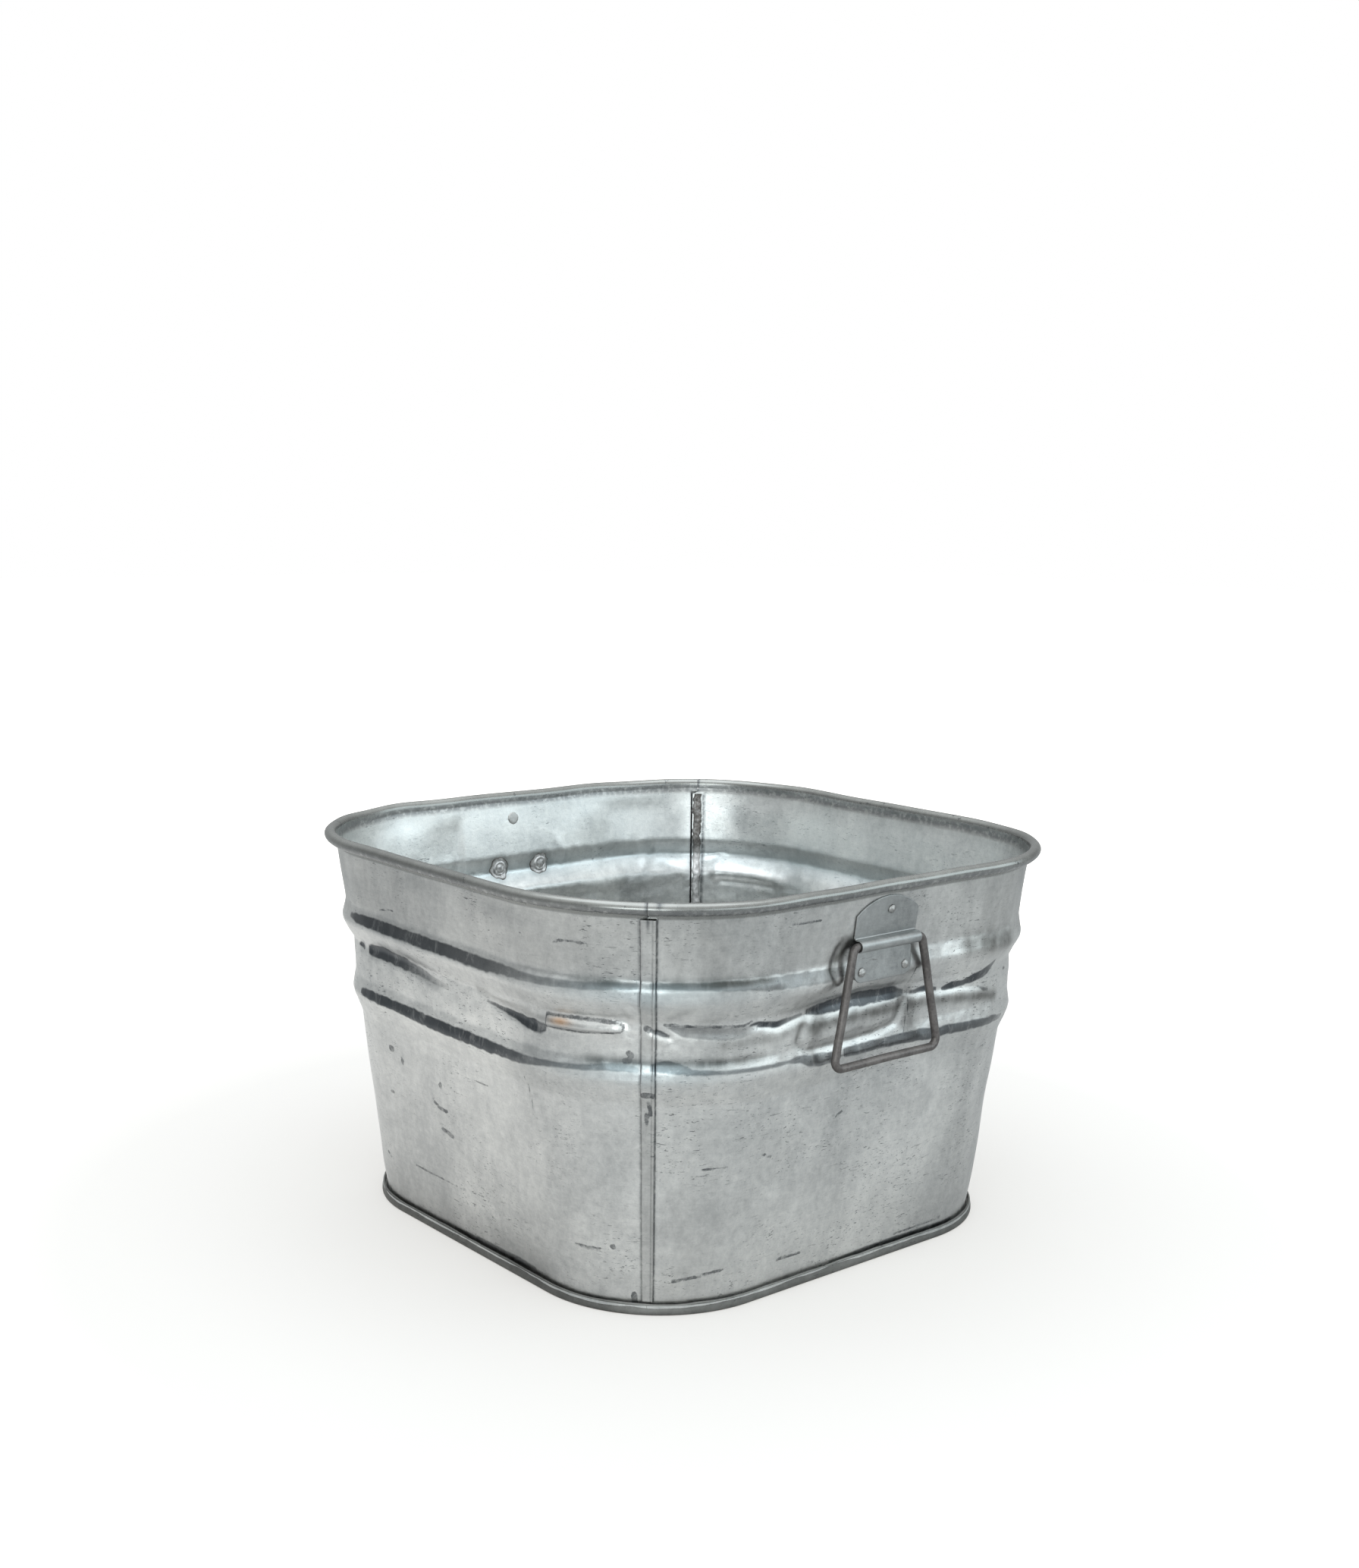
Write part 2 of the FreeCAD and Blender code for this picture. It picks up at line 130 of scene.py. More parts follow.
def unit(vectors):
    """The vectors at length 1."""
    return vectors / np.linalg.norm(vectors, axis=-1, keepdims=True)


def full_turn(count):
    """Angles evenly round a circle."""
    return np.linspace(0, 2 * math.pi, count + 1)[:-1]


def xyz(x, y, z):
    """Places from their coordinates, each a number or an array."""
    return np.stack(np.broadcast_arrays(x, y, z), -1)


def waves(seed, shortest, longest):
    """A smooth random field of places in mm, about -1 to 1, with detail between two wavelengths."""
    rng = np.random.default_rng(seed)
    count = 28
    lengths = shortest * (longest / shortest) ** rng.random(count)
    vectors = unit(rng.normal(size=(count, 3))) * (2 * math.pi / lengths)[:, None]
    phases = rng.uniform(0, 2 * math.pi, count)

    def field(places):
        total = np.zeros(places.shape[:-1])
        for vector, phase in zip(vectors, phases):
            total += np.sin(places @ vector + phase)
        return total / math.sqrt(count)

    return field


# ---- outlines and the loop round the tub ----


def rounded(points):
    """The outline with its corners rounded, as an array of (inset, z) closely spaced along it."""
    fine = 0.15
    places = [Vector(p[:2]) for p in points]
    path = [places[0]]
    for before, here, after, (_, _, radius) in zip(places, places[1:], places[2:], points[1:-1]):
        inward, outward = (here - before).normalized(), (after - here).normalized()
        turn = inward.angle_signed(outward)
        if radius == 0 or abs(turn) < 1e-4:
            path.append(here)
            continue
        reach = radius * math.tan(abs(turn) / 2)
        side = -math.copysign(1, turn)
        centre = here - inward * reach + Vector((-inward.y, inward.x)) * side * radius
        spoke = here - inward * reach - centre
        steps = max(3, math.ceil(abs(turn) * radius / fine))
        for i in range(steps + 1):
            angle = side * abs(turn) * i / steps
            path.append(centre + Matrix.Rotation(angle, 2) @ spoke)
    path.append(places[-1])
    corners = np.array([tuple(p) for p in path])
    length = np.concatenate([[0], np.cumsum(np.linalg.norm(np.diff(corners, axis=0), axis=1))])
    even = np.linspace(0, length[-1], int(length[-1] / fine) + 1)
    return np.stack([np.interp(even, length, corners[:, i]) for i in (0, 1)], axis=1)


def spaced(line, spacing):
    """Indices along the line, spacing(z) mm apart, with both ends kept."""
    step = np.linalg.norm(np.diff(line, axis=0), axis=1)
    count = np.concatenate([[0], np.cumsum(step / spacing(line[1:, 1]))])
    wanted = np.linspace(0, count[-1], int(math.ceil(count[-1])) + 1)
    return np.unique(np.searchsorted(count, wanted - 1e-9).clip(0, len(line) - 1))


def left_normals(line):
    """Unit vectors as (inset, z) pointing to the side that the sheet's thickness lies on."""
    along_line = unit(np.gradient(line, axis=0))
    return np.stack([along_line[:, 1], -along_line[:, 0]], axis=1)


def loop_columns(s):
    """At distances s round the loop: the centre that the bend turns about, and the outward normal."""
    start = np.mod(s + QUARTER / 2, LOOP)
    quarter = np.floor(start / (QUARTER + STRAIGHT)).astype(int)
    rest = start - quarter * (QUARTER + STRAIGHT)
    bend = np.minimum(rest, QUARTER) / LOOP_RADIUS
    slide = np.maximum(rest - QUARTER, 0)
    turn = quarter * math.pi / 2
    angle = turn - math.pi / 2 + bend
    normal = np.stack([np.cos(angle), np.sin(angle)], axis=-1)
    centre_x, centre_y = CORNER_CENTRE, slide - CORNER_CENTRE
    cos, sin = np.cos(turn), np.sin(turn)
    return np.stack([centre_x * cos - centre_y * sin, centre_x * sin + centre_y * cos], axis=-1), normal


def ring_places(s, inset, z):
    """World places in mm of points given by s, inset and z."""
    s, inset, z = np.broadcast_arrays(s, inset, z)
    centre, normal = loop_columns(s)
    flat = centre + normal * (CORNER_RADIUS - inset)[..., None]
    return np.concatenate([flat, z[..., None]], axis=-1)


# ---- dents, stains and painted shade: what the press, the rollers and use have done to the wall, and the shade and dark reflection painted on it ----
#
# Grooves and ridges are lists of (s, z, depth) along the wall, with how far they reach below and above it.

GROOVES = [
    # the pinched step under the upper bead, -Y side
    ([(-346, 223, 0), (-338, 223, 1.8), (-329, 224, 0.3), (-319, 223, 2.4), (-300, 225, 3.2),
      (-262, 223, 3.2), (-238, 220, 2.6), (-222, 218, 1.4), (-204, 217, 0)], 3.4, 9.0),
    ([(-146, 219, 0), (-140, 218, 1.6), (-110, 215, 2.2), (-90, 213, 1.8), (-84, 210, 1.0), (-79, 208, 0)],
     2.6, 4.0),
    # the same step, +X side
    ([(13, 222, 0), (17, 223, 1.0), (30, 220, 1.8), (74, 216, 1.8), (80, 220, 1.2), (86, 221, 2.6),
      (106, 217, 3.0), (140, 222, 3.4), (186, 224, 3.8), (232, 222, 3.2), (248, 219, 2.0), (262, 220, 3.0),
      (276, 217, 2.8), (298, 216, 3.0), (328, 213, 2.4), (336, 206, 1.2), (352, 205, 0), (366, 217, 0),
      (373, 217, 1.4), (380, 217, 0)], 3.6, 8.0),
    # inside the far corner, where the step shows as a swelling
    ([(730, 222, 0), (745, 222, 2.6), (780, 224, 3.2), (812, 225, 3.0), (820, 225, 0)], 4.0, 6.0),
    ([(843, 224, 0), (852, 229, 1.8), (860, 232, 1.6), (876, 236, 0)], 3.5, 5.0),
]
RIDGES = [
    ([(-80, 219, 0), (-78, 219, 2.6), (-50, 219.6, 3.0), (-20, 221, 2.6), (-14, 221, 0)], 4.2, 4.0),
    ([(-150, 226, 0), (-140, 226, 1.0), (-100, 226, 1.2), (-82, 226, 0)], 2.6, 2.6),
    ([(3, 214, 0), (9, 213, 1.2), (20, 212, 0)], 3.0, 4.0),
    ([(120, 208, 0), (138, 207, 1.2), (180, 208, 1.8), (222, 208, 1.2), (240, 208, 0)], 10.0, 8.0),
]
# creases that run up or round: places (s, z), depth and reach
CREASES = [
    ([(130, 211), (126, 200), (134, 193), (163, 193), (205, 194), (229, 199), (236, 213)], -1.5, 3.2),
    ([(168, 278), (156, 265), (151, 252), (155, 242)], -1.6, 3.0),
    ([(822, 236), (809, 242), (815, 225)], -1.3, 3.0),
    ([(886, 230), (882, 246)], -1.6, 3.6),
    ([(5, 222), (13, 218), (18, 215)], -1.1, 2.6),
]
# stains, and the dark reflection painted on the beads' and the step's upward flanks: places (s, z, half
# height, strength)
STAINS_AND_DARK_REFLECTIONS = [
    # upper bead, -Y side
    [(-342, 250, 1.8, 0.9), (-330, 250, 4.0, 0.95), (-300, 250, 5.0, 1), (-200, 249.5, 5.0, 0.95),
     (-140, 249, 4.8, 0.85), (-112, 250, 4.0, 0.7), (-90, 250, 3.4, 0.55), (-60, 250.5, 3.0, 0.55),
     (-30, 252, 2.8, 0.6), (-2, 254, 2.8, 0.7)],
    # lower bead, -Y side
    [(-340, 186, 2.2, 0.95), (-330, 186, 4.2, 1), (-250, 185, 5.0, 1), (-160, 184, 5.2, 1),
     (-112, 184.5, 4.4, 0.9), (-92, 186, 3.2, 0.8), (-72, 188, 2.4, 0.75), (-44, 190, 2.2, 0.7),
     (-30, 192, 3.0, 0.8), (-14, 192.5, 3.0, 0.8), (-2, 191, 2.0, 0.6)],
    # the step under the upper bead, -Y side
    [(-346, 224, 1.2, 1), (-341, 224, 2.6, 1), (-334, 223, 2.4, 1), (-331, 223, 0.4, 0.3)],
    [(-326, 223.5, 3.0, 1), (-319, 223, 4.8, 1), (-300, 224, 5.0, 1), (-262, 222, 4.6, 0.95),
     (-243, 220.5, 3.8, 0.7), (-220, 218, 3.0, 0.4), (-200, 217, 2.0, 0.2)],
    [(-150, 219, 1.0, 0.7), (-132, 217, 2.0, 0.9), (-112, 215, 3.4, 1), (-98, 213, 4.8, 1),
     (-86, 212, 5.0, 1), (-79, 213, 2.6, 0.9)],
    # painted shade round the embossed bar
    [(-79, 215.6, 1.6, 0.35), (-50, 215.8, 1.8, 0.35), (-16, 218, 1.2, 0.3)],
    # upper bead, +X side
    [(4, 255, 2.6, 0.7), (14, 254.5, 2.4, 0.8), (34, 253.8, 3.0, 0.7), (61, 253, 3.6, 0.65),
     (92, 251, 4.8, 0.6), (147, 249.5, 5.4, 0.55), (166, 250, 3.0, 0.4)],
    # the step, +X side
    [(16, 223, 0.8, 0.7), (29, 219.5, 4.4, 0.6), (60, 216.5, 5.0, 0.5), (74, 217, 4.4, 0.4),
     (86, 218, 3.0, 0.15)],
    [(80, 220.5, 1.2, 0.9), (88, 220.5, 2.6, 1), (105, 217.5, 2.8, 1), (118, 219, 1.8, 0.7),
     (132, 221, 1.4, 0.6)],
    [(134, 222, 2.4, 0.9), (146, 222, 4.2, 1), (186, 222.5, 5.4, 0.95), (226, 221.5, 4.8, 1),
     (238, 220, 2.4, 0.7)],
    [(244, 219, 1.4, 0.7), (262, 219.5, 2.8, 1), (275, 217, 1.8, 0.8)],
    [(280, 216, 1.4, 0.9), (292, 217.5, 3.6, 1), (304, 217, 2.4, 0.9), (318, 220, 4.0, 1),
     (330, 222, 4.6, 0.9), (345, 229, 3.0, 0.7)],
    [(322, 212, 1.0, 0.7), (332, 208, 2.0, 0.8), (340, 206, 1.0, 0.5)],
    [(369, 217, 1.4, 0.9), (377, 217, 1.2, 0.7)],
    # lower bead, +X side
    [(5, 193.5, 2.6, 0.8), (14, 194, 4.6, 0.9), (26, 193, 4.6, 0.9), (36, 190, 2.2, 0.8),
     (60, 188.5, 1.8, 0.7), (116, 188, 1.6, 0.7), (127, 188, 3.0, 0.8), (140, 185, 5.0, 0.75),
     (164, 183, 5.0, 0.75), (170, 184, 3.0, 0.8)],
    [(172, 184.5, 3.6, 0.75), (186, 184.5, 4.4, 0.75), (250, 184.5, 4.6, 0.85), (285, 183.5, 4.2, 0.9),
     (345, 181, 3.6, 0.8), (366, 179, 2.2, 0.5)],
    [(4, 221, 1.2, 0.8), (12, 218.5, 2.6, 0.9), (20, 215.5, 1.0, 0.8)],
    # along the foot
    [(-236, 8.5, 1.5, 0.5), (-200, 9.5, 3.0, 0.7), (-150, 10.5, 3.4, 0.75), (-122, 11.5, 1.6, 0.6)],
    [(190, 8, 1.0, 0.6), (230, 9, 2.6, 0.75), (262, 8.5, 3.0, 0.8), (340, 9, 2.0, 0.7)],
]
# marks and scratches, and painted shade along the embossed bar's edges and the +X step's top edge: half
# width, then the places (s, z) it runs through
MARKS_AND_EDGE_SHADES = [
    (1.9, [(-229, 132), (-229.5, 131)]),
    (1.0, [(-243, 116), (-235, 112), (-223, 111)]),
    (1.3, [(-233, 94), (-226, 93), (-219, 91)]),
    (0.35, [(-284, 48), (-227, 49), (-175, 50)]),
    (0.8, [(-66, 47), (-40, 47)]),
    (1.5, [(-29, 51), (-27, 51)]),
    (0.1, [(-107, 170), (-102, 144)]),
    (2.0, [(-303, 144), (-300, 144)]),
    (1.8, [(-287, 138), (-286, 136)]),
    (1.5, [(-11, 203), (-9, 201)]),
    (1.4, [(-14, 197), (-10, 197)]),
    (2.2, [(-8, 8), (-9, 14)]),
    (0.45, [(-64, 281), (-55, 283), (-46, 283), (-38, 281)]),
    (0.4, [(107, 293), (135, 292)]),
    (0.05, [(240, 241), (242, 206), (238, 189)]),
    (1.7, [(0.5, 173), (7, 173)]),
    (0.8, [(4, 167), (6, 158)]),
    (0.8, [(2, 158), (3, 150)]),
    (0.8, [(26, 26), (74, 32)]),
    (0.8, [(133, 26), (156, 26)]),
    (0.45, [(48, 114), (70, 113)]),
    (0.4, [(178, 132), (184, 135)]),
    (0.45, [(104, 118), (116, 112)]),
    (1.6, [(2, 222), (4, 221)]),
    (0.2, [(84, 284), (87, 283)]),
    (0.5, [(-94, 282), (-92, 281)]),
    (0.15, [(-292, 263), (-270, 266)]),
    (0.1, [(-188, 150), (-160, 148)]),
    # painted shade along the embossed bar's top edge and ends, then along its bottom edge
    (0.4, [(-79, 214.5), (-79, 223.8), (-50, 224.6), (-18, 224.4), (-14.5, 222.5), (-14.5, 219.5)]),
    (0.1, [(-78, 214.6), (-50, 214.8), (-17, 217.6)]),
    # painted shade along the top edge of the step, +X side
    (0.3, [(15, 224.2), (30, 223.6), (74, 221), (82, 223.4)]),
    (0.9, [(-310, 106), (-305, 104)]),
    (0.8, [(-338, 46), (-330, 43)]),
    (0.5, [(262, 14), (318, 15)]),
]
# soft painted shade and dark reflection where the sheet turns, and a painted shadow beside the ear: how far
# they reach, how strong, and the places (s, z)
PAINTED_SHADES = [
    (2.8, 2.0, [(135, 223), (126, 204), (132, 193), (150, 193), (183, 194), (218, 195), (229, 202),
                (233, 218)]),
    # painted shadow beside the ear's tunnel and the handle's top
    (4.0, 3.4, [(170, 274), (157, 260), (151, 252), (152, 243)]),
    (9.0, 3.2, [(300, 250), (352, 246)]),
    (4.5, 2.0, [(60, 208), (106, 209), (128, 214)]),
    (5.0, 3.8, [(138, 211), (186, 211), (234, 210)]),
    (4.5, 3.4, [(244, 210), (290, 207), (330, 203), (352, 199)]),
    (3.0, 1.6, [(-160, 226), (-120, 222), (-84, 219)]),
    (22.0, 1.3, [(-330, 8), (-230, 10), (-120, 12)]),
]
NEAR_CORNER_FILL = [(250.5, 5.0, 1.3), (189.5, 4.5, 0.9)]  # z, reach, height: the beads are shallower there
RIM_JOINT = -409.0  # where the left sheet's curl is cracked across
RIM_SPOT = 10.5  # a dark spot on top of the rim, beside the near seam
BAR_GLINT = -65.0, 220.5  # the warm glint on the embossed bar, as (s, z)


def along(points, s):
    """The line's z and its other values at s, or zeros beyond its ends."""
    table = np.array(points, float)
    inside = (s >= table[0, 0]) & (s <= table[-1, 0])
    columns = [np.interp(s, table[:, 0], table[:, i]) for i in range(1, table.shape[1])]
    return columns[0], [np.where(inside, c, 0.0) for c in columns[1:]]


def lobe(distance, below, above):
    """A soft bump of height 1 that reaches further on one side than on the other."""
    return bell(distance, np.where(distance < 0, below, above))


def path_distance(points, s, z):
    """Distance in mm from the places (s, z) to a line of points."""
    nearest = np.full(np.broadcast(s, z).shape, 1e9)
    for (s0, z0), (s1, z1) in zip(points, points[1:]):
        ds, dz = s1 - s0, z1 - z0
        t = np.clip(((s - s0) * ds + (z - z0) * dz) / (ds * ds + dz * dz), 0, 1)
        nearest = np.minimum(nearest, np.hypot(s - s0 - t * ds, z - z0 - t * dz))
    return nearest


def wrapped(s):
    """The same place round the loop, as a distance from WINDOW_START on."""
    return np.mod(s - WINDOW_START, LOOP) + WINDOW_START


broad_wave = waves(1, 90, 260)
middle_wave = waves(2, 28, 80)
small_wave = waves(3, 9, 22)
ragged_wave = waves(4, 5, 14)
rim_wave = waves(5, 60, 200)


def rim_sway(s):
    """How far out of true the rim is at s."""
    return rim_wave(ring_places(s, 0.0, HALF_WIDTH))


def pressed(s, z):
    """How far out the dents above move the wall, in mm, at places on one side of the tub."""
    out = np.zeros(np.broadcast(s, z).shape)
    for points, below, above in GROOVES:
        middle, (depth,) = along(points, s)
        out -= 0.75 * depth * lobe(z - middle, 1.25 * below, above)
    for points, below, above in RIDGES:
        middle, (height,) = along(points, s)
        out += height * np.exp(-((np.abs(z - middle) / np.where(z < middle, below, above)) ** 3))
    for points, height, reach in CREASES:
        out += height * bell(path_distance(points, s, z), reach)
    return out


def out_of_true(s, z):
    """How far the wall at (s, z) is moved out along its normal."""
    here = wrapped(s)
    places = ring_places(s, 20.0, z)
    beside_ear = np.minimum(np.abs(here - EAR_S), np.abs(here - EAR_S - LOOP / 2))
    calm = (1 - smooth(beside_ear, 36, 52)) * smooth(z, 228, 238)
    held = smooth(z, 8, 40) * (1 - smooth(z, 285, 302)) * (1 - calm)
    near_beads = smooth(z, 160, 178) * (1 - smooth(z, 256, 268)) * (1 - calm)
    out = held * (0.9 * broad_wave(places) + 0.28 * middle_wave(places))
    out += near_beads * 0.16 * small_wave(places)
    out += (pressed(here, z) + 0.6 * pressed(wrapped(s - LOOP / 2), z)) * (1 - calm) - 0.1 * calm
    corner = 1 - smooth(np.abs(here), 92, 112)
    for middle, reach, height in NEAR_CORNER_FILL:
        out += corner * height * bell(z - middle, reach)
    # the handle's legs lie against the upper bead
    handle_room = 0.1 + 4 * (1 - smooth(z, 232, 240)) + 4 * smooth(beside_ear, 56, 74)
    return np.minimum(out, handle_room)


def stains_and_dark_reflections(s, z):
    """How far inside a band of stain and painted dark reflection (s, z) lies, from 0.5 at its edge to 1 at 6
    mm in, and how dark the band is.
    """
    places = ring_places(s, 20.0, z)
    ragged = 1 + 0.08 * ragged_wave(places)
    inside = np.full(np.broadcast(s, z).shape, -6.0)
    dark = np.zeros(inside.shape)
    for points in STAINS_AND_DARK_REFLECTIONS:
        for here, share in ((wrapped(s), 1.0), (wrapped(s - LOOP / 2), 0.7)):
            middle, (half, strength) = along(points, here)
            ends = 1.6 * np.minimum(here - points[0][0], points[-1][0] - here)
            depth = np.minimum(half * ragged - np.abs(z - middle), ends)
            dark = np.where(depth > inside, share * strength, dark)
            inside = np.maximum(inside, depth)
    return np.clip(0.5 + inside / 12, 0, 1), dark


def smudge_and_rim_shade(s, z):
    """How dark the wall's inside is painted: smudged round the solder over the rivets, and with painted shade
    towards the rim.
    """
    darkening = 0.8 * smooth(z, 292, 303)
    for y in LOW_RIVET_YS:
        for middle in (SIDE_S + y, SIDE_S + y - LOOP / 2):
            away = np.hypot(wrapped(s - middle), z - LOW_RIVET_Z)
            darkening = darkening + 2.6 * (1 - smooth(away, 8, 17))
    return np.minimum(darkening, 3.0)


# ---- meshes ----


def piece(name, places, faces, material, body, nodes, values=None):
    """A mesh piece from places in mm, riding on a body and standing for CAD nodes."""
    mesh = bpy.data.meshes.new(name)
    mesh.from_pydata((np.asarray(places) * MM).tolist(), [], faces)
    mesh.validate()
    mesh.shade_smooth()
    mesh.set_sharp_from_angle(angle=math.radians(50))
    for title, numbers in (values or {}).items():
        layer = mesh.attributes.new(title, "FLOAT", "POINT")
        layer.data.foreach_set("value", np.asarray(numbers, np.float32).ravel())
    mesh.materials.append(material)
    made = bpy.data.objects.new(name, mesh)
    bpy.context.scene.collection.objects.link(made)
    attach(made, body)
    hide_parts(*nodes)


def grid_faces(rows, columns, rows_closed=False, columns_closed=False, offset=0, flip=False):
    """Quads over a grid whose point (row, column) has the index row * columns + column."""
    faces = []
    for i in range(rows if rows_closed else rows - 1):
        for j in range(columns if columns_closed else columns - 1):
            a = i * columns + j
            b = i * columns + (j + 1) % columns
            c = (i + 1) % rows * columns + (j + 1) % columns
            d = (i + 1) % rows * columns + j
            quad = (a, b, c, d) if not flip else (d, c, b, a)
            faces.append(tuple(k + offset for k in quad))
    return faces


# the columns where a sheet covers the other one at a seam, from its covering edge on
COVER_COLUMNS = [0, 0.3, 0.7, 1.2, 2.0, 3.6, 5.3, 7.2, 8.1, 8.6, 9.2, 9.8, 10.3, 10.8, 11.4, 12.4, 14.0]


def wall_spacing(z):
    """How far apart the rows are on the outside."""
    step = np.where(z < 160, 2.9, np.where(z < 264, 1.35, 2.4))
    step = np.where(z > 303.5, 0.85, np.where(z > 300, 0.45, step))
    return np.where(z < 12, 1.2, step)


def inside_spacing(z):
    """And on the inside."""
    step = np.where(z < 160, 8.0, np.where(z < 264, 2.2, 4.0))
    step = np.where(z > 303.5, 1.3, step)
    return np.where(z < 12, 1.6, step)


class BodySheet:
    """A bent body sheet, from its covering edge at one seam to its hidden edge at the other.

    It is a grid with a row for each point of its section, up the outside and down the inside, and a column
    for each distance s round the loop. What belongs to the rows is kept as arrays one column wide.
    """

    def __init__(self, first_seam, last_seam, fine_from, fine_to):
        self.first_seam, self.last_seam = first_seam, last_seam
        self.edge = first_seam - SEAM_WIDTH / 2
        self.far_edge = first_seam + SEAM_WIDTH / 2  # where the cover steps down to the other sheet
        self.finish = last_seam + SEAM_WIDTH / 2 - 0.7
        self.set_rows()
        self.set_columns(fine_from, fine_to)

    def set_rows(self):
        """The section's points, its outward direction, and where it is wall, rim or seam."""
        line = rounded(BODY_LINE)
        normals = left_normals(line)
        outside, inside = spaced(line, wall_spacing), spaced(line, inside_spacing)[::-1]
        picks = np.concatenate([outside, inside])
        self.faces_out = (np.arange(len(picks)) < len(outside))[:, None]
        section = line[picks] + normals[picks] * np.where(self.faces_out, 0.0, SHEET)
        self.inset, self.z = section[:, :1], section[:, 1:]
        self.outer_inset, self.level = line[picks, :1], line[picks, 1:]
        self.out_share, self.up_share = normals[picks, :1], -normals[picks, 1:]
        self.is_wall = self.level < NECK_Z
        self.wall = self.is_wall * (1 - smooth(self.level, 300, NECK_Z))  # fading out towards the rim
        self.rim = 1 - self.is_wall * (1 - smooth(self.level, 290, NECK_Z))
        # above and below the seam the two sheets only meet, edge to edge
        begun = smooth(self.level, SEAM_LOW - 2, SEAM_LOW + 1)
        self.seamed = self.is_wall * begun * (1 - smooth(self.level, 302.9, NECK_Z - 0.1))

    def set_columns(self, fine_from, fine_to):
        """Distances round the loop, which above and below the seams are drawn in to where the sheets meet."""
        s = [self.edge + d for d in COVER_COLUMNS]
        while s[-1] < self.finish - 3:
            s.append(s[-1] + (2.15 if fine_from < s[-1] < fine_to else 3.1))
        s = np.array([*s[:-1], self.finish])
        if s[0] < RIM_JOINT < s[-1]:
            by_joint = RIM_JOINT + np.linspace(-2.7, 2.7, 10)
            s = np.sort(np.concatenate([s[np.abs(s - RIM_JOINT) > 3.2], by_joint]))
        near_first = np.clip(1 - (s - self.edge) / 14.0, 0, 1)
        near_last = np.clip(1 - (self.finish - s) / 14.0, 0, 1)
        to_first, to_last = self.first_seam + 0.15 - self.edge, self.last_seam - 0.15 - self.finish
        self.s = s + (1 - self.seamed) * (near_first * to_first + near_last * to_last)

    def cover(self):
        """How proud the sheet stands where it covers the other one at its first seam."""
        s, seamed = self.s, self.seamed
        bend = np.sqrt(1 - (1 - np.clip((s - self.edge) / 1.3, 0, 1)) ** 2)
        rise = COVER_EDGE_HEIGHT + (COVER_HEIGHT - COVER_EDGE_HEIGHT) * bend
        cover = seamed * np.where(s < self.first_seam, rise, COVER_HEIGHT)
        cover += seamed * 0.55 * bell(s - self.far_edge + 0.9, 0.75)
        return cover * (1 - smooth(s, self.far_edge - 0.4, self.far_edge + 0.7))

    def places(self):
        """The grid's places in mm, out of true as the real sheet is."""
        s = self.s
        out = self.wall * out_of_true(s, self.level) + self.cover()
        places = ring_places(s, self.inset, self.z)
        _, normal = loop_columns(s)
        sway = self.rim * rim_sway(s)
        places[..., :2] += normal * (out * self.out_share + 0.35 * sway)[..., None]
        places[..., 2] += out * self.up_share + 0.4 * sway
        return places

    def dark_lines(self):
        """How dark the sheet is along its edges and at the cracked curl, with painted shade inside, under the
        curl.
        """
        s, level, seamed, rim = self.s, self.level, self.seamed, self.rim
        crack = wrapped(s) - RIM_JOINT - 1.2 * np.sin(self.outer_inset - 4)
        under_curl = smooth(level, 302.5, 305) * (1 - smooth(level, 309.5, 312.5))
        lines = [
            seamed * bell(s - self.edge, 0.8),
            seamed * bell(s - self.far_edge - 0.6, 0.8),
            seamed * 0.5 * bell(s - self.far_edge + 2.2, 0.6),
            seamed * bell(s - self.last_seam + SEAM_WIDTH / 2 + 0.4, 0.9),
            rim * bell(s - self.first_seam, 0.5),
            rim * bell(s - self.last_seam, 0.5),
            rim * bell(crack, 0.7),
            0.8 * smooth(level, 311, 313) * bell(s - RIM_SPOT, 2),
            # painted shade inside, under the curl
            (1 - self.faces_out) * 0.75 * under_curl + 0 * s,
        ]
        return np.maximum.reduce(lines)

    def painted_shade(self, on_bead):
        """How much shade and dark reflection is painted on the outside: towards the rim, on the beads' flanks
        by the near seam, on the embossed bar, along the painted shades and on the seam's cover.
        """
        s, level = self.s, self.level
        darkening = smooth(level, 238, 266) + 0.55 * bell(s - 38, 30) + 0.5 * smooth(s, 265, 330)
        by_seam = smooth(s, -62, -30) * (1 - smooth(s, 75, 115))
        flanks = bell(level - 254.5, 4) + bell(level - 195.5, 4)
        darkening = darkening * (1 + 0.25 * smooth(-s, 180, 330)) + 4.4 * by_seam * flanks
        darkening += smooth(s, -82, -78) * (1 - smooth(s, -56, -38)) * bell(level - 219.5, 4.5)
        for reach, strength, points in PAINTED_SHADES:
            darkening = darkening + strength * bell(path_distance(points, s, level), reach)
        past_cover = smooth(s, self.far_edge - 1, self.far_edge + 1)
        on_cover = self.seamed * smooth(s, self.edge, self.edge + 1.5) * (1 - past_cover)
        return np.maximum(darkening, (1.3 + 1.4 * on_bead) * on_cover)

    def values(self):
        """What the zinc's material reads, by name: each is a number for every point of the grid."""
        s, level, faces_out, is_wall = self.s, self.level, self.faces_out, self.is_wall
        stain_and_reflection, stain_and_reflection_darkness = stains_and_dark_reflections(s, level)
        mark = np.full(s.shape, 4.0)
        for half, points in MARKS_AND_EDGE_SHADES:
            mark = np.minimum(mark, path_distance(points, s, level) - half - 0.5)
        on_bead = bell(level - 248, 9) + bell(level - 189, 9)
        # a painted cool reflection on the inside, strongest at the upper bead
        inside_cool_reflection = is_wall * (0.12 + 0.5 * bell(level - 243, 12))
        outside_curl = 1 - is_wall * (1 - smooth(level, 302, NECK_Z))
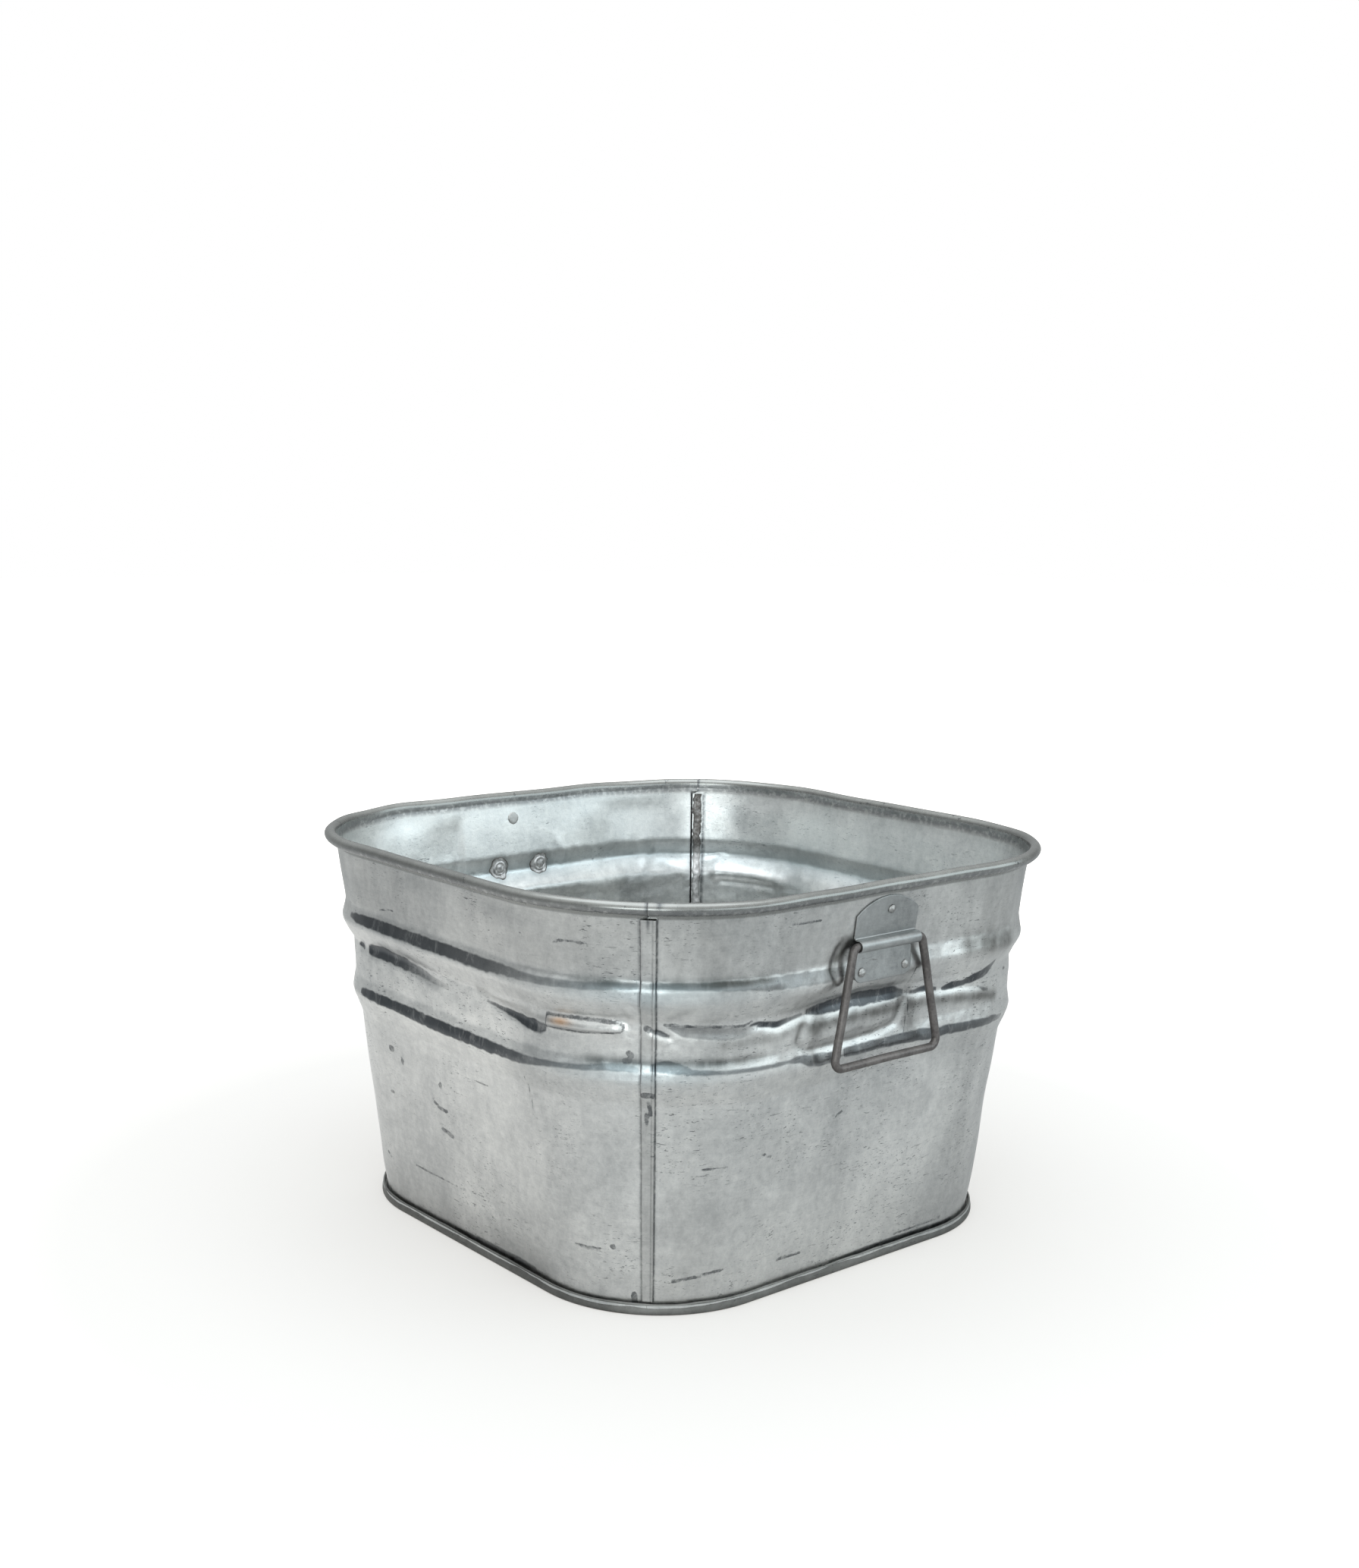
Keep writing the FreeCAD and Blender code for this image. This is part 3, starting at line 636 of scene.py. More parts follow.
        # a painted warm glint on the embossed bar
        glint = ((s - BAR_GLINT[0]) / 8) ** 2 + ((level - BAR_GLINT[1]) / 2.4) ** 2
        return {
            # painted shade and dark reflection outside; smudges and painted shade under the rim inside
            "painted_shade_and_smudge": np.where(faces_out, self.painted_shade(on_bead), smudge_and_rim_shade(s, level)),
            # painted cool reflection: a teal highlight on the beads by the near seam, and bluish inside
            "painted_cool_reflection": np.where(faces_out, 0.5 * on_bead * bell(s, 60), inside_cool_reflection),
            # stain bands, partly painted dark reflection
            "stain_and_reflection": stain_and_reflection,
            "stain_and_reflection_darkness": self.wall * stain_and_reflection_darkness * faces_out,
            # dark joints, the cracked curl and painted shade under the curl
            "joints_and_curl_shade": self.dark_lines(),
            "curl": np.where(faces_out, outside_curl, smooth(level, 309, 312)) + 0 * s,
            "painted_warm_glint": faces_out * 0.75 * np.exp(-glint),
            "mark": np.where(faces_out, np.maximum(mark, -2.0), 4.0),
        }


def body_half(name, node, first_seam, last_seam, fine_from, fine_to):
    """A body sheet as a piece, with finer columns on the stretch of it that is worked most."""
    sheet = BodySheet(first_seam, last_seam, fine_from, fine_to)
    places = sheet.places()
    rows, columns = places.shape[:2]
    faces = grid_faces(rows, columns, rows_closed=True)
    faces.append(tuple(i * columns for i in range(rows)))
    faces.append(tuple(i * columns + columns - 1 for i in reversed(range(rows))))
    piece(name, places.reshape(-1, 3), faces, galvanised, "tub", [node], sheet.values())


wall_line = rounded(BODY_LINE)


def wall_inset(z):
    """The inset of the wall's outer face at heights z."""
    keep = (wall_line[:, 1] > 2) & (wall_line[:, 1] < NECK_Z - 1) & (np.arange(len(wall_line)) > 100)
    heights, insets = wall_line[keep, 1], wall_line[keep, 0]
    order = np.argsort(heights)
    return np.interp(z, heights[order], insets[order])


def inside_places(s, z, thickness):
    """Places on the wall's inside at (s, z), raised off it by a thickness."""
    return ring_places(s, wall_inset(z) - out_of_true(s, z) + SHEET + thickness, z)


def rim_core():
    """The wire inside the rim's curl, bent and swaying with it."""
    s = np.linspace(0, LOOP, 301)[:-1, None]
    turn = full_turn(14)
    sway = rim_sway(s)
    inset = RIM_RADIUS + RIM_WIRE * np.cos(turn) - 0.35 * sway
    z = HEIGHT - RIM_RADIUS + RIM_WIRE * np.sin(turn) + 0.4 * sway
    places = ring_places(s, inset, z)
    faces = grid_faces(*places.shape[:2], rows_closed=True, columns_closed=True)
    piece("rim_core", places.reshape(-1, 3), faces, wire_metal, "tub", ["rim_wire"])


def pan():
    """The bottom: its raised panel, its foot and the uneven edge folded up round the body's flange."""
    s = np.linspace(0, LOOP, 421)[:-1]
    line = rounded(PAN_LINE)
    normals = left_normals(line)
    picks = spaced(line, lambda z: 0.55)
    under = line[picks]
    over = line[picks[::-1]] + normals[picks[::-1]] * SHEET
    profile = np.concatenate([under, over])
    inset, z = profile[:, :1], profile[:, 1:]
    edge = ring_places(s, 45.0, 0.0)
    lift = smooth(z, 3.0, 8.0) * (0.3 * middle_wave(edge) + 0.12 * small_wave(edge))
    lean = smooth(z, 2.0, 8.0) * (0.9 + 0.16 * middle_wave(edge + 40) + 0.05 * small_wave(edge + 40))
    is_foot = inset < 51
    places = ring_places(s, inset + is_foot * np.minimum(lean, 1.6), z + is_foot * lift)
    shares = np.concatenate([np.linspace(0.94, 0.12, 20), [0.05]])
    rings = []
    for level, order in ((6.0 + SHEET, shares), (6.0, shares[::-1])):
        outer = ring_places(s, 60.0, level)
        for share in order:
            ring = outer * [share, share, 1]
            ring[:, 2] += 0.5 * (1 - share) * broad_wave(ring * [1, 1, 0])
            rings.append(ring)
    places = np.concatenate([places, np.array(rings)])
    rows, columns = places.shape[:2]
    turn = len(profile) + len(shares)
    faces = grid_faces(turn, columns, columns_closed=True)
    faces += grid_faces(len(shares), columns, columns_closed=True, offset=turn * columns)
    last = (rows - 1) * columns
    faces += [(last + j, last + (j + 1) % columns, (j + 1) % columns, j) for j in range(columns)]
    faces.append(tuple((turn - 1) * columns + j for j in range(columns)))
    faces.append(tuple(turn * columns + j for j in reversed(range(columns))))
    row = np.arange(rows)[:, None]
    values = {"clean": (row >= len(under)) * (row < turn) + 0 * s}
    places = places.reshape(-1, 3)
    piece("bottom_sheet", places, faces, dull_sheet, "tub", ["bottom_pan"], values)


def slab(top, under, closed=False):
    """Vertices and faces of a thin solid between two grids of places of the same size.

    A closed one runs round a hub, its first row, which the caller caps above and below.
    """
    rows, columns = top.shape[:2]
    count = rows * columns
    faces = grid_faces(rows, columns, columns_closed=closed)
    faces += grid_faces(rows, columns, columns_closed=closed, offset=count, flip=True)
    edges = [[i * columns + j for j in range(columns)] for i in (0, rows - 1)]
    if closed:
        edges = [[], [*edges[1], edges[1][0]]]
    else:
        edges += [[i * columns + j for i in range(rows)] for j in (0, columns - 1)]
    for k, edge in enumerate(edges):
        for a, b in zip(edge, edge[1:]):
            quad = (a, b, b + count, a + count)
            faces.append(quad if k in (1, 2) else quad[::-1])
    return np.concatenate([top.reshape(-1, 3), under.reshape(-1, 3)]), faces


def side_piece(name, node, side, places, faces, material, values=None, body="tub"):
    """A piece made on the +X side, kept there or turned half round, with the side added to its names."""
    ending = "_right" if side > 0 else "_left"
    piece(name + ending, places * [side, side, 1], faces, material, body, [node + ending], values)


def wall_x(z):
    """The wall's outer face above the beads, at the middle of the +X side."""
    return HALF_WIDTH - WALL_TOP_INSET - WALL_SLOPE * (NECK_Z - z)


EDGE_STEPS = [0.0, 0.12, 0.4, 0.9]  # in from an edge, where a sheet's thickness is rounded off


def ear(side):
    """The stamped ear: its arched tab on the wall, the rolled tunnel and the foot on the bead."""
    half = EAR_SHEET / 2
    reach = HANDLE_WIRE / 2 + HANDLE_PLAY + half
    low_x = HALF_WIDTH - BEADS[4][0] + 0.1 + half
    lift = (half + 0.05) * math.hypot(1, WALL_SLOPE)
    foot_top, tab_low = PIVOT_Z - reach - 2.5, PIVOT_Z + reach + 2.5
    middle = rounded(
        [
            (low_x, foot_top, 0.0),
            (low_x, PIVOT_Z - reach, TUNNEL_BEND),
            (PIVOT_X + reach, PIVOT_Z - reach, reach),
            (PIVOT_X + reach, PIVOT_Z + reach, reach),
            (wall_x(PIVOT_Z + reach) + lift, PIVOT_Z + reach, TUNNEL_BEND),
            (wall_x(tab_low) + lift, tab_low, 0.0),
        ]
    )
    middle = middle[spaced(middle, lambda z: 0.5)]
    width = 2 * EAR_HALF_WIDTH
    inner = np.linspace(2.0, width - 2.0, 40)
    across = np.concatenate([EDGE_STEPS, inner, width - np.array(EDGE_STEPS[::-1])])
    share = across / width
    tab_y = across - EAR_HALF_WIDTH
    tunnel_y = (2 * share - 1) * TUNNEL_HALF_LENGTH
    foot_y = EAR_FOOT_SHIFT + (2 * share - 1) * EAR_FOOT_HALF_WIDTH
    rise = EAR_TOP - EAR_SHOULDER
    arch_radius = (EAR_HALF_WIDTH**2 + rise**2) / (2 * rise)
    arch_top = EAR_TOP - arch_radius + np.sqrt(arch_radius**2 - tab_y**2)
    from_corner = np.clip(EAR_FOOT_RADIUS - np.minimum(share, 1 - share) * 2 * EAR_FOOT_HALF_WIDTH, 0, None)
    foot_low = EAR_FOOT + EAR_FOOT_RADIUS - np.sqrt(EAR_FOOT_RADIUS**2 - from_corner**2)

    # from the foot up: each row's x, y and z, its outward direction's x and z, and how far the end is
    rows = []
    for d in [*EDGE_STEPS, *np.linspace(2.2, 21.0, 12)]:
        z = foot_low + np.minimum(d, foot_top - foot_low - 0.01 * (22 - d))
        rows.append((low_x, foot_y, z, 1, 0, d))
    slope = unit(np.gradient(middle, axis=0))
    for i, (x, z) in enumerate(middle):
        to_tunnel = smooth(i, 2, 4) * (1 - smooth(i, len(middle) - 5, len(middle) - 3))
        base = foot_y if i < len(middle) / 2 else tab_y
        rows.append((x, base + (tunnel_y - base) * to_tunnel, z, slope[i, 1], -slope[i, 0], 9))
    tilt = math.hypot(1, WALL_SLOPE)
    for d in [*np.linspace(19.0, 2.2, 12), *EDGE_STEPS[::-1]]:
        z = arch_top - np.minimum(d, (arch_top - tab_low) * (0.9 + 0.005 * (19 - d)))
        z = np.maximum(z, tab_low + 0.02 * (20 - d))
        rows.append((wall_x(z) + lift, tab_y, z, 1 / tilt, -WALL_SLOPE / tilt, d))
    x, y, z, out_x, out_z, from_end = np.moveaxis([np.broadcast_arrays(*row) for row in rows], 1, 0)
    near_edge = np.minimum(from_end, np.minimum(across, width - across))
    thick = half * np.sqrt(1 - 0.75 * (1 - np.clip(near_edge / 0.5, 0, 1)) ** 2)
    wobble = waves(21, 12, 40)(xyz(x, y, z)) * 0.12 + 0.1
    wobble = wobble * (smooth(z, 276, 282) + (1 - smooth(z, 254, 260)))
    offsets = wobble + thick, wobble - thick
    places, faces = slab(*(xyz(x + out_x * off, y + EAR_SHIFT, z + out_z * off) for off in offsets))
    side_piece("ear_plate", "ear", side, places, faces, ear_zinc)


def handle(side):
    """The bent wire handle, a little out of true as a hand-bent wire is."""
    foot = PIVOT_Z - HANDLE_DROP
    line = rounded(
        [
            (-HANDLE_END_GAP / 2, PIVOT_Z, 0.0),
            (-HANDLE_TOP_HALF, PIVOT_Z, HANDLE_TOP_BEND),
            (HANDLE_FOOT_SHIFT - HANDLE_FOOT_HALF, foot, HANDLE_FOOT_BEND),
            (HANDLE_FOOT_SHIFT + HANDLE_FOOT_HALF, foot, HANDLE_FOOT_BEND),
            (HANDLE_TOP_HALF, PIVOT_Z, HANDLE_TOP_BEND),
            (HANDLE_END_GAP / 2, PIVOT_Z, 0.0),
        ]
    )
    line = line[spaced(line, lambda z: 1.1)]
    tangent = unit(np.gradient(line, axis=0))
    free = 1 - smooth(line[:, 1], 240, 262)
    centre = xyz(PIVOT_X, line[:, 0] + EAR_SHIFT, line[:, 1])
    centre[:, 1] += free * 0.35 * waves(31, 40, 120)(centre)
    centre[:, 2] += free * 0.3 * waves(32, 40, 120)(centre)
    turn = full_turn(24)
    radius = HANDLE_WIRE / 2 * (1 + 0.008 * waves(33, 8, 30)(centre))[:, None, None]
    ring = xyz(np.cos(turn), -np.sin(turn) * tangent[:, 1:], np.sin(turn) * tangent[:, :1])
    places = centre[:, None, :] + radius * ring
    rows, columns = places.shape[:2]
    faces = grid_faces(rows, columns, columns_closed=True, flip=True)
    faces.append(tuple(range(columns)))
    faces.append(tuple((rows - 1) * columns + j for j in reversed(range(columns))))
    body = "right_handle" if side > 0 else "left_handle"
    places = places.reshape(-1, 3)
    side_piece("wire_handle", "handle", side, places, faces, wire_metal, body=body)


def turned(profile, seed):
    """A slightly uneven solid turned about +Z, from (radius, height) points that begin and end on it."""
    profile = np.array(profile)
    count = 36
    turn = full_turn(count)
    radius, height = profile[1:-1, :1], profile[1:-1, 1:]
    true = xyz(radius * np.cos(turn), radius * np.sin(turn), height)
    places = true + true * (0.05 * waves(seed, 2.5, 7)(true))[..., None] * [1, 1, 0.6]
    rows = len(profile) - 2
    faces = grid_faces(rows, count, columns_closed=True)
    faces += [(rows * count, (j + 1) % count, j) for j in range(count)]
    last = (rows - 1) * count
    faces += [(rows * count + 1, last + j, last + (j + 1) % count) for j in range(count)]
    ends = [[0, 0, profile[0, 1]], [0, 0, profile[-1, 1]]]
    return np.concatenate([places.reshape(-1, 3), ends]), faces


def stood(places, x, y, z, tilt=0.0):
    """Places made along +Z, laid along +X at (x, y, z) and tilted down by an angle."""
    up = np.array([math.sin(tilt), 0, math.cos(tilt)])
    out = np.array([math.cos(tilt), 0, -math.sin(tilt)])
    flat = np.array([0, 1.0, 0])
    return np.array([x, y, z]) + places[:, :1] * flat + places[:, 1:2] * up + places[:, 2:] * out


def rivet_profile(head, head_z, tail_z, tip):
    """A flat head with a rounded edge below head_z, the shank, and a peened tail above tail_z."""
    return [
        (0, head_z - 1.1), (head * 0.35, head_z - 1.1), (head * 0.7, head_z - 1.05),
        (head - 0.5, head_z - 0.92), (head - 0.12, head_z - 0.66), (head, head_z - 0.35),
        (head - 0.1, head_z), (2.6, head_z), (2.4, head_z + 0.1),
        (2.4, tail_z - 0.1), (3.3, tail_z), (3.45, tail_z + 0.3),
        (3.2, tail_z + 0.72), (2.6, tail_z + 1.12), (1.7, tail_z + 1.48), (0.8, tail_z + 1.75 + tip / 2),
        (0.35, tail_z + 1.85 + tip), (0, tail_z + 1.9 + tip),
    ]


def rivets(side):
    """The ear's three rivets, and the run of solder over the two lower heads on the inside."""
    places, faces = turned(rivet_profile(5.5, -SHEET - 0.03, 0.05 + EAR_SHEET + 0.1, 0.5), 41)
    places = stood(places, wall_x(TOP_RIVET_Z), TOP_RIVET_Y, TOP_RIVET_Z, math.atan(WALL_SLOPE))
    side_piece("top_rivet", "ear_top_rivet", side, places, faces, rivet_metal)
    tail = HALF_WIDTH - BEADS[4][0] + 0.1 + EAR_SHEET + 0.15 - LOW_HEAD_X
    for y, end, seed in zip(LOW_RIVET_YS, ("front", "back"), (43, 44)):
        places, faces = turned(rivet_profile(4.6, 0.0, tail, 0.0), seed)
        places = stood(places, LOW_HEAD_X, y, LOW_RIVET_Z)
        side_piece(end + "_rivet", f"ear_{end}_rivet", side, places, faces, rivet_metal)
        places, faces, values = solder_blob(y, seed + (0 if side > 0 else 4))
        node = end + "_rivet_solder"
        side_piece(end + "_solder", node, side, places, faces, solder_grey, values)


def solder_blob(y, seed):
    """Solder run over a lower rivet's head and out on to the wall's inside, ragged at its edge."""
    columns = 60
    turn = full_turn(columns)
    share = np.linspace(0.04, 1, 20)[:, None]
    edge = waves(seed, 4, 16)(xyz(BLOB_RADIUS * np.cos(turn), BLOB_RADIUS * np.sin(turn), 0))
    radius = BLOB_RADIUS * share * (1 + 0.08 * edge)
    at_y, at_z = y + radius * np.cos(turn), LOW_RIVET_Z + radius * np.sin(turn)
    wall = inside_places(SIDE_S + at_y, at_z, 0.0)[..., 0]
    lumps = waves(seed + 10, 3, 9)(xyz(at_y, at_z, 0))
    head = LOW_HEAD_X - 1.5 - 0.15 * lumps - 0.5 * bell(radius, 2.5) + 0.4 * bell(radius - 4.2, 1)
    top = wall + (head - wall) * (1 - smooth(radius, 5.6, 7.8))
    top = np.minimum(top, wall - 0.7 * (1 - share**8))
    under = np.maximum(wall, top) + 0.15
    places, faces = slab(xyz(top, at_y, at_z), xyz(under, at_y, at_z), closed=True)
    faces.append(tuple(reversed(range(columns))))
    faces.append(tuple(top.size + j for j in range(columns)))
    dark = smooth(share, 0.8, 0.96) + 0.3 * (1 - smooth(np.abs(radius - 4.0), 0.4, 1.4))
    return places, [f[::-1] for f in faces], {"dark_edge": [dark, dark]}


def seam_solder(name, node, seam):
    """The ragged strip of solder up the inside of a corner seam."""
    z = np.linspace(11.5, 302.5, 190)[:, None]
    share = np.linspace(-1, 1, 11)[None, :]
    edge = waves(51, 4, 18)
    left, right = (3.7 + 0.9 * edge(xyz(x, 0, z)) for x in (0, 90))
    s = seam + np.where(share < 0, left, right) * share
    lumps = waves(52, 3, 9)(xyz(s, 0, z))
    thick = 0.12 + (0.75 + 0.3 * lumps) * (1 - share**4)
    places, faces = slab(inside_places(s, z, thick), inside_places(s, z, -0.2))
    dark = np.maximum(0.9 * smooth(z, 240, 256), 0.55 * np.abs(share) ** 3)
    piece(name, places, faces, solder_grey, "tub", [node], {"dark_edge": [dark, dark]})


# ---- materials ----


class Nodes:
    """Short ways to add shader nodes to a tree. Each gives back the new node's output."""

    def __init__(self, tree):
        self.tree = tree

    def put(self, value, socket):
        if isinstance(value, bpy.types.NodeSocket):
            self.tree.links.new(value, socket)
        else:
            socket.default_value = value

    def add(self, kind, inputs=(), output=0, **settings):
        node = self.tree.nodes.new("ShaderNode" + kind)
        for title, value in settings.items():
            setattr(node, title, value)
        for title, value in inputs:
            self.put(value, node.inputs[title])
        return node.outputs[output]

    def calc(self, operation, a, b=0.0, c=0.0):
        return self.add("Math", enumerate((a, b, c)), operation=operation)

    def remap(self, value, low, high, to_low=0.0, to_high=1.0, easing="SMOOTHSTEP"):
        inputs = enumerate((value, low, high, to_low, to_high))
        return self.add("MapRange", inputs, interpolation_type=easing)

    def blend(self, share, a, b):
        return self.add("Mix", [(0, share), (6, a), (7, b)], 2, data_type="RGBA")

    def attribute(self, title):
        return self.add("Attribute", output="Fac", attribute_name=title)


class Surface(Nodes):
    """A node material with a Principled shader."""

    def __init__(self, name, metallic=1.0):
        self.material = bpy.data.materials.new(name)
        self.material.use_nodes = True
        super().__init__(self.material.node_tree)
        self.shader = self.tree.nodes["Principled BSDF"].inputs
        self.shader["Metallic"].default_value = metallic
        self.place = self.add("TexCoord", output="Object")

    def noise(self, scale, detail=3.0, roughness=0.55, distortion=0.0, stretch=None, turn=(0, 0, 0)):
        place = self.place
        if stretch:
            place = self.add("Mapping", [("Vector", place), ("Scale", stretch), ("Rotation", turn)])
        inputs = [("Vector", place), ("Scale", scale), ("Detail", detail)]
        inputs += [("Roughness", roughness), ("Distortion", distortion)]
        return self.add("TexNoise", inputs, "Fac")

    def finish(self, colour, roughness, height, relief, strength):
        """The material with its colour, its roughness and a bump of a height field."""
        bump = self.add("Bump", [("Height", height), ("Distance", relief), ("Strength", strength)])
        for title, value in (("Base Color", colour), ("Roughness", roughness), ("Normal", bump)):
            self.put(value, self.shader[title])
        return self.material


# Colours: zinc's three are its light and dark tones and its darkest, for stains, wear and marks, which on the
# wall also paints dark reflection and shade; any other pair is dark and light.
WALL_TONES = (0.85, 0.845, 0.82, 1), (0.50, 0.505, 0.50, 1), (0.055, 0.062, 0.07, 1)
RIM_TONES = (0.235, 0.237, 0.228, 1), (0.33, 0.333, 0.32, 1)
BOTTOM_TONES = (0.25, 0.25, 0.238, 1), (0.13, 0.13, 0.124, 1), (0.05, 0.05, 0.05, 1)
CLEAN_TONES = (0.5, 0.5, 0.49, 1), (0.76, 0.76, 0.75, 1)
EAR_TONES = (0.50, 0.51, 0.505, 1), (0.27, 0.28, 0.28, 1), (0.16, 0.15, 0.14, 1)
RIVET_TONES = (0.52, 0.52, 0.51, 1), (0.30, 0.295, 0.285, 1), (0.12, 0.115, 0.11, 1)
WIRE_TONES = (0.125, 0.115, 0.111, 1), (0.235, 0.218, 0.209, 1)
SOLDER_TONES = (0.42, 0.42, 0.42, 1), (0.74, 0.74, 0.74, 1)
SOLDER_EDGE = (0.085, 0.075, 0.066, 1)
# the colours of painted shade and smudge, of painted cool reflection, and of a painted warm glint
SHADE_AND_SMUDGE = (0.05, 0.046, 0.038, 1)
COOL_REFLECTION = (0.66, 0.85, 0.93, 1)
WARM_GLINT = (0.86, 0.5, 0.26, 1)
ZINC_RELIEF = 0.00035, 0.5  # the bump's distance in m, and its strength


def zinc_surface(name, light, dark, darkest, rough):
    """Dull hot-dip zinc, cloudy and finely mottled, with small dark flecks and scratches.

    Gives the surface and its colour, roughness, height, mottle and tone, for the caller to finish.
    """
    m = Surface(name)
    cloud = m.noise(8, 5, 0.6, 0.5)
    smear = m.noise(30, 4, 0.6, 0.4, stretch=(1.8, 1.8, 0.5))
    mottle = m.noise(170, 5, 0.7, 0.3)
    grain = m.noise(700, 3, 0.65)
    streak = m.noise(60, 4, 0.6, stretch=(1, 1, 9))
    tone = m.calc("MULTIPLY_ADD", cloud, 1.4, m.calc("MULTIPLY", mottle, 0.8))
    for layer, share in ((smear, 0.4), (streak, 0.22), (grain, 0.25)):
        tone = m.calc("MULTIPLY_ADD", layer, share, tone)
    tone = m.remap(tone, 1.25, 1.9, easing="LINEAR")
    patch = m.remap(m.noise(16, 3, 0.6), 0.45, 0.62)
    fleck = m.remap(m.noise(210, 4, 0.7, stretch=(1, 1, 3.2)), 0.6, 0.68)
    scratch = m.remap(m.noise(130, 2, 0.5, 1.2, stretch=(1, 1, 6), turn=(0.25, 0.1, 0)), 0.66, 0.69)
    worn = m.calc("MULTIPLY", m.calc("MAXIMUM", fleck, scratch), m.calc("MULTIPLY_ADD", patch, 0.6, 0.12))
    colour = m.blend(worn, m.blend(tone, dark, light), darkest)
    rougher = m.calc("ADD", mottle, m.calc("MULTIPLY", cloud, 0.6))
    roughness = m.remap(rougher, 0.5, 1.1, rough - 0.06, rough + 0.08)
    height = m.calc("MULTIPLY_ADD", grain, 0.35, mottle)
    return m, colour, roughness, height, mottle, tone


def zinc(name, light, dark, darkest, rough):
    m, colour, roughness, height, _, _ = zinc_surface(name, light, dark, darkest, rough)
    return m.finish(colour, roughness, height, *ZINC_RELIEF)


def bottom_zinc():
    """Dull where water has stood, but clean on the panel's upper side."""
    m, colour, roughness, height, _, tone = zinc_surface("dull_zinc_bottom", *BOTTOM_TONES, 0.5)
    colour = m.blend(m.attribute("clean"), colour, m.blend(tone, *CLEAN_TONES))
    return m.finish(colour, roughness, height, *ZINC_RELIEF)


def wall_zinc():
    """The body sheets' zinc, with the stains, marks and dark lines of BodySheet.values, and the shade, dark
    reflection, cool reflection and warm glint painted there.
    """
    light, dark, darkest = WALL_TONES
    m, colour, roughness, height, mottle, tone = zinc_surface("galvanised_zinc", light, dark, darkest, 0.35)
    ragged = m.calc("MULTIPLY_ADD", mottle, 0.1, m.calc("MULTIPLY", m.noise(60, 3, 0.6), 0.14))
    # stain bands, partly painted dark reflection
    in_stain_and_reflection = m.remap(m.calc("ADD", m.attribute("stain_and_reflection"), ragged), 0.57, 0.72)
    scuffs = m.noise(90, 5, 0.72, 0.8, stretch=(1, 1, 0.45), turn=(0.3, 0.3, 0))
    share = m.calc("MULTIPLY", in_stain_and_reflection, m.remap(scuffs, 0.5, 0.72, 1.0, 0.7))
    share = m.calc("MULTIPLY", share, m.attribute("stain_and_reflection_darkness"))
    colour = m.blend(m.calc("MULTIPLY", share, 0.97), colour, darkest)
    # a painted warm glint
    colour = m.blend(m.attribute("painted_warm_glint"), colour, WARM_GLINT)
    # painted shade and dark reflection outside, smudges and painted shade inside
    patchy_darkening = m.remap(m.noise(26, 4, 0.6, stretch=(2.4, 2.4, 0.5)), 0.36, 0.64, 0.14, 0.2)
    colour = m.blend(m.calc("MULTIPLY", m.attribute("painted_shade_and_smudge"), patchy_darkening), colour, SHADE_AND_SMUDGE)
    # painted cool reflection
    colour = m.blend(m.calc("MULTIPLY", m.attribute("painted_cool_reflection"), 0.45), colour, COOL_REFLECTION)
    # marks and scratches, and painted shade along the bar's and the step's edges
    strayed = m.calc("SUBTRACT", m.noise(240, 4, 0.65), 0.5)
    strayed = m.calc("MULTIPLY_ADD", strayed, 2.4, m.attribute("mark"))
    marked = m.calc("MULTIPLY", m.remap(strayed, 0.55, -0.25), m.remap(mottle, 0.35, 0.6, 0.35, 0.8))
    colour = m.blend(marked, colour, darkest)
    # dark joints and the cracked curl, with painted shade under the curl
    edge = m.calc("MULTIPLY", m.attribute("joints_and_curl_shade"), m.remap(m.noise(260, 3), 0.3, 0.55, 0.5, 1.0))
    colour = m.blend(m.calc("MULTIPLY", edge, 0.85), colour, darkest)
    spots = m.calc("MULTIPLY", m.remap(m.noise(95, 3, 0.6), 0.66, 0.7), 0.6)
    spotted = m.calc("MAXIMUM", m.calc("MULTIPLY", edge, 0.9), spots)
    curl = m.attribute("curl")
    colour = m.blend(curl, colour, m.blend(spotted, m.blend(tone, *RIM_TONES), darkest))
    height = m.calc("MULTIPLY", height, m.calc("MULTIPLY_ADD", curl, -0.95, 1.0))
    roughness = m.calc("MULTIPLY_ADD", curl, -0.1, roughness)
    return m.finish(colour, roughness, height, *ZINC_RELIEF)


def wire_steel():
    m = Surface("worn_wire")
    cloud, mottle = m.noise(40, 4, 0.6), m.noise(420, 4, 0.65)
    drawn = m.noise(900, 2, 0.5, stretch=(1, 1, 0.08))
    tone = m.remap(m.calc("MULTIPLY_ADD", mottle, 0.8, cloud), 0.65, 1.15)
    height = m.calc("MULTIPLY_ADD", drawn, 0.4, mottle)
    return m.finish(m.blend(tone, *WIRE_TONES), m.remap(mottle, 0.3, 0.7, 0.42, 0.58), height, 0.0003, 0.5)


def solder_metal():
    m = Surface("dull_solder")
    lumps = m.noise(170, 4, 0.6, 0.6)
    colour = m.blend(m.remap(lumps, 0.35, 0.68), *SOLDER_TONES)
    dark = m.calc("MULTIPLY", m.attribute("dark_edge"), m.remap(m.noise(230, 4, 0.7), 0.3, 0.6, 0.6, 1.0))
    colour = m.blend(dark, colour, SOLDER_EDGE)
    return m.finish(colour, m.remap(m.noise(300, 3), 0.3, 0.7, 0.35, 0.6), lumps, 0.0006, 0.6)


galvanised = wall_zinc()
dull_sheet = bottom_zinc()
ear_zinc = zinc("ear_zinc", *EAR_TONES, 0.44)
rivet_metal = zinc("rivet_zinc", *RIVET_TONES, 0.4)
wire_metal = wire_steel()
solder_grey = solder_metal()

# ---- the pieces ----

for old in ("Cube", "Camera", "Light"):
    if old in bpy.data.objects:
        bpy.data.objects.remove(bpy.data.objects[old], do_unlink=True)

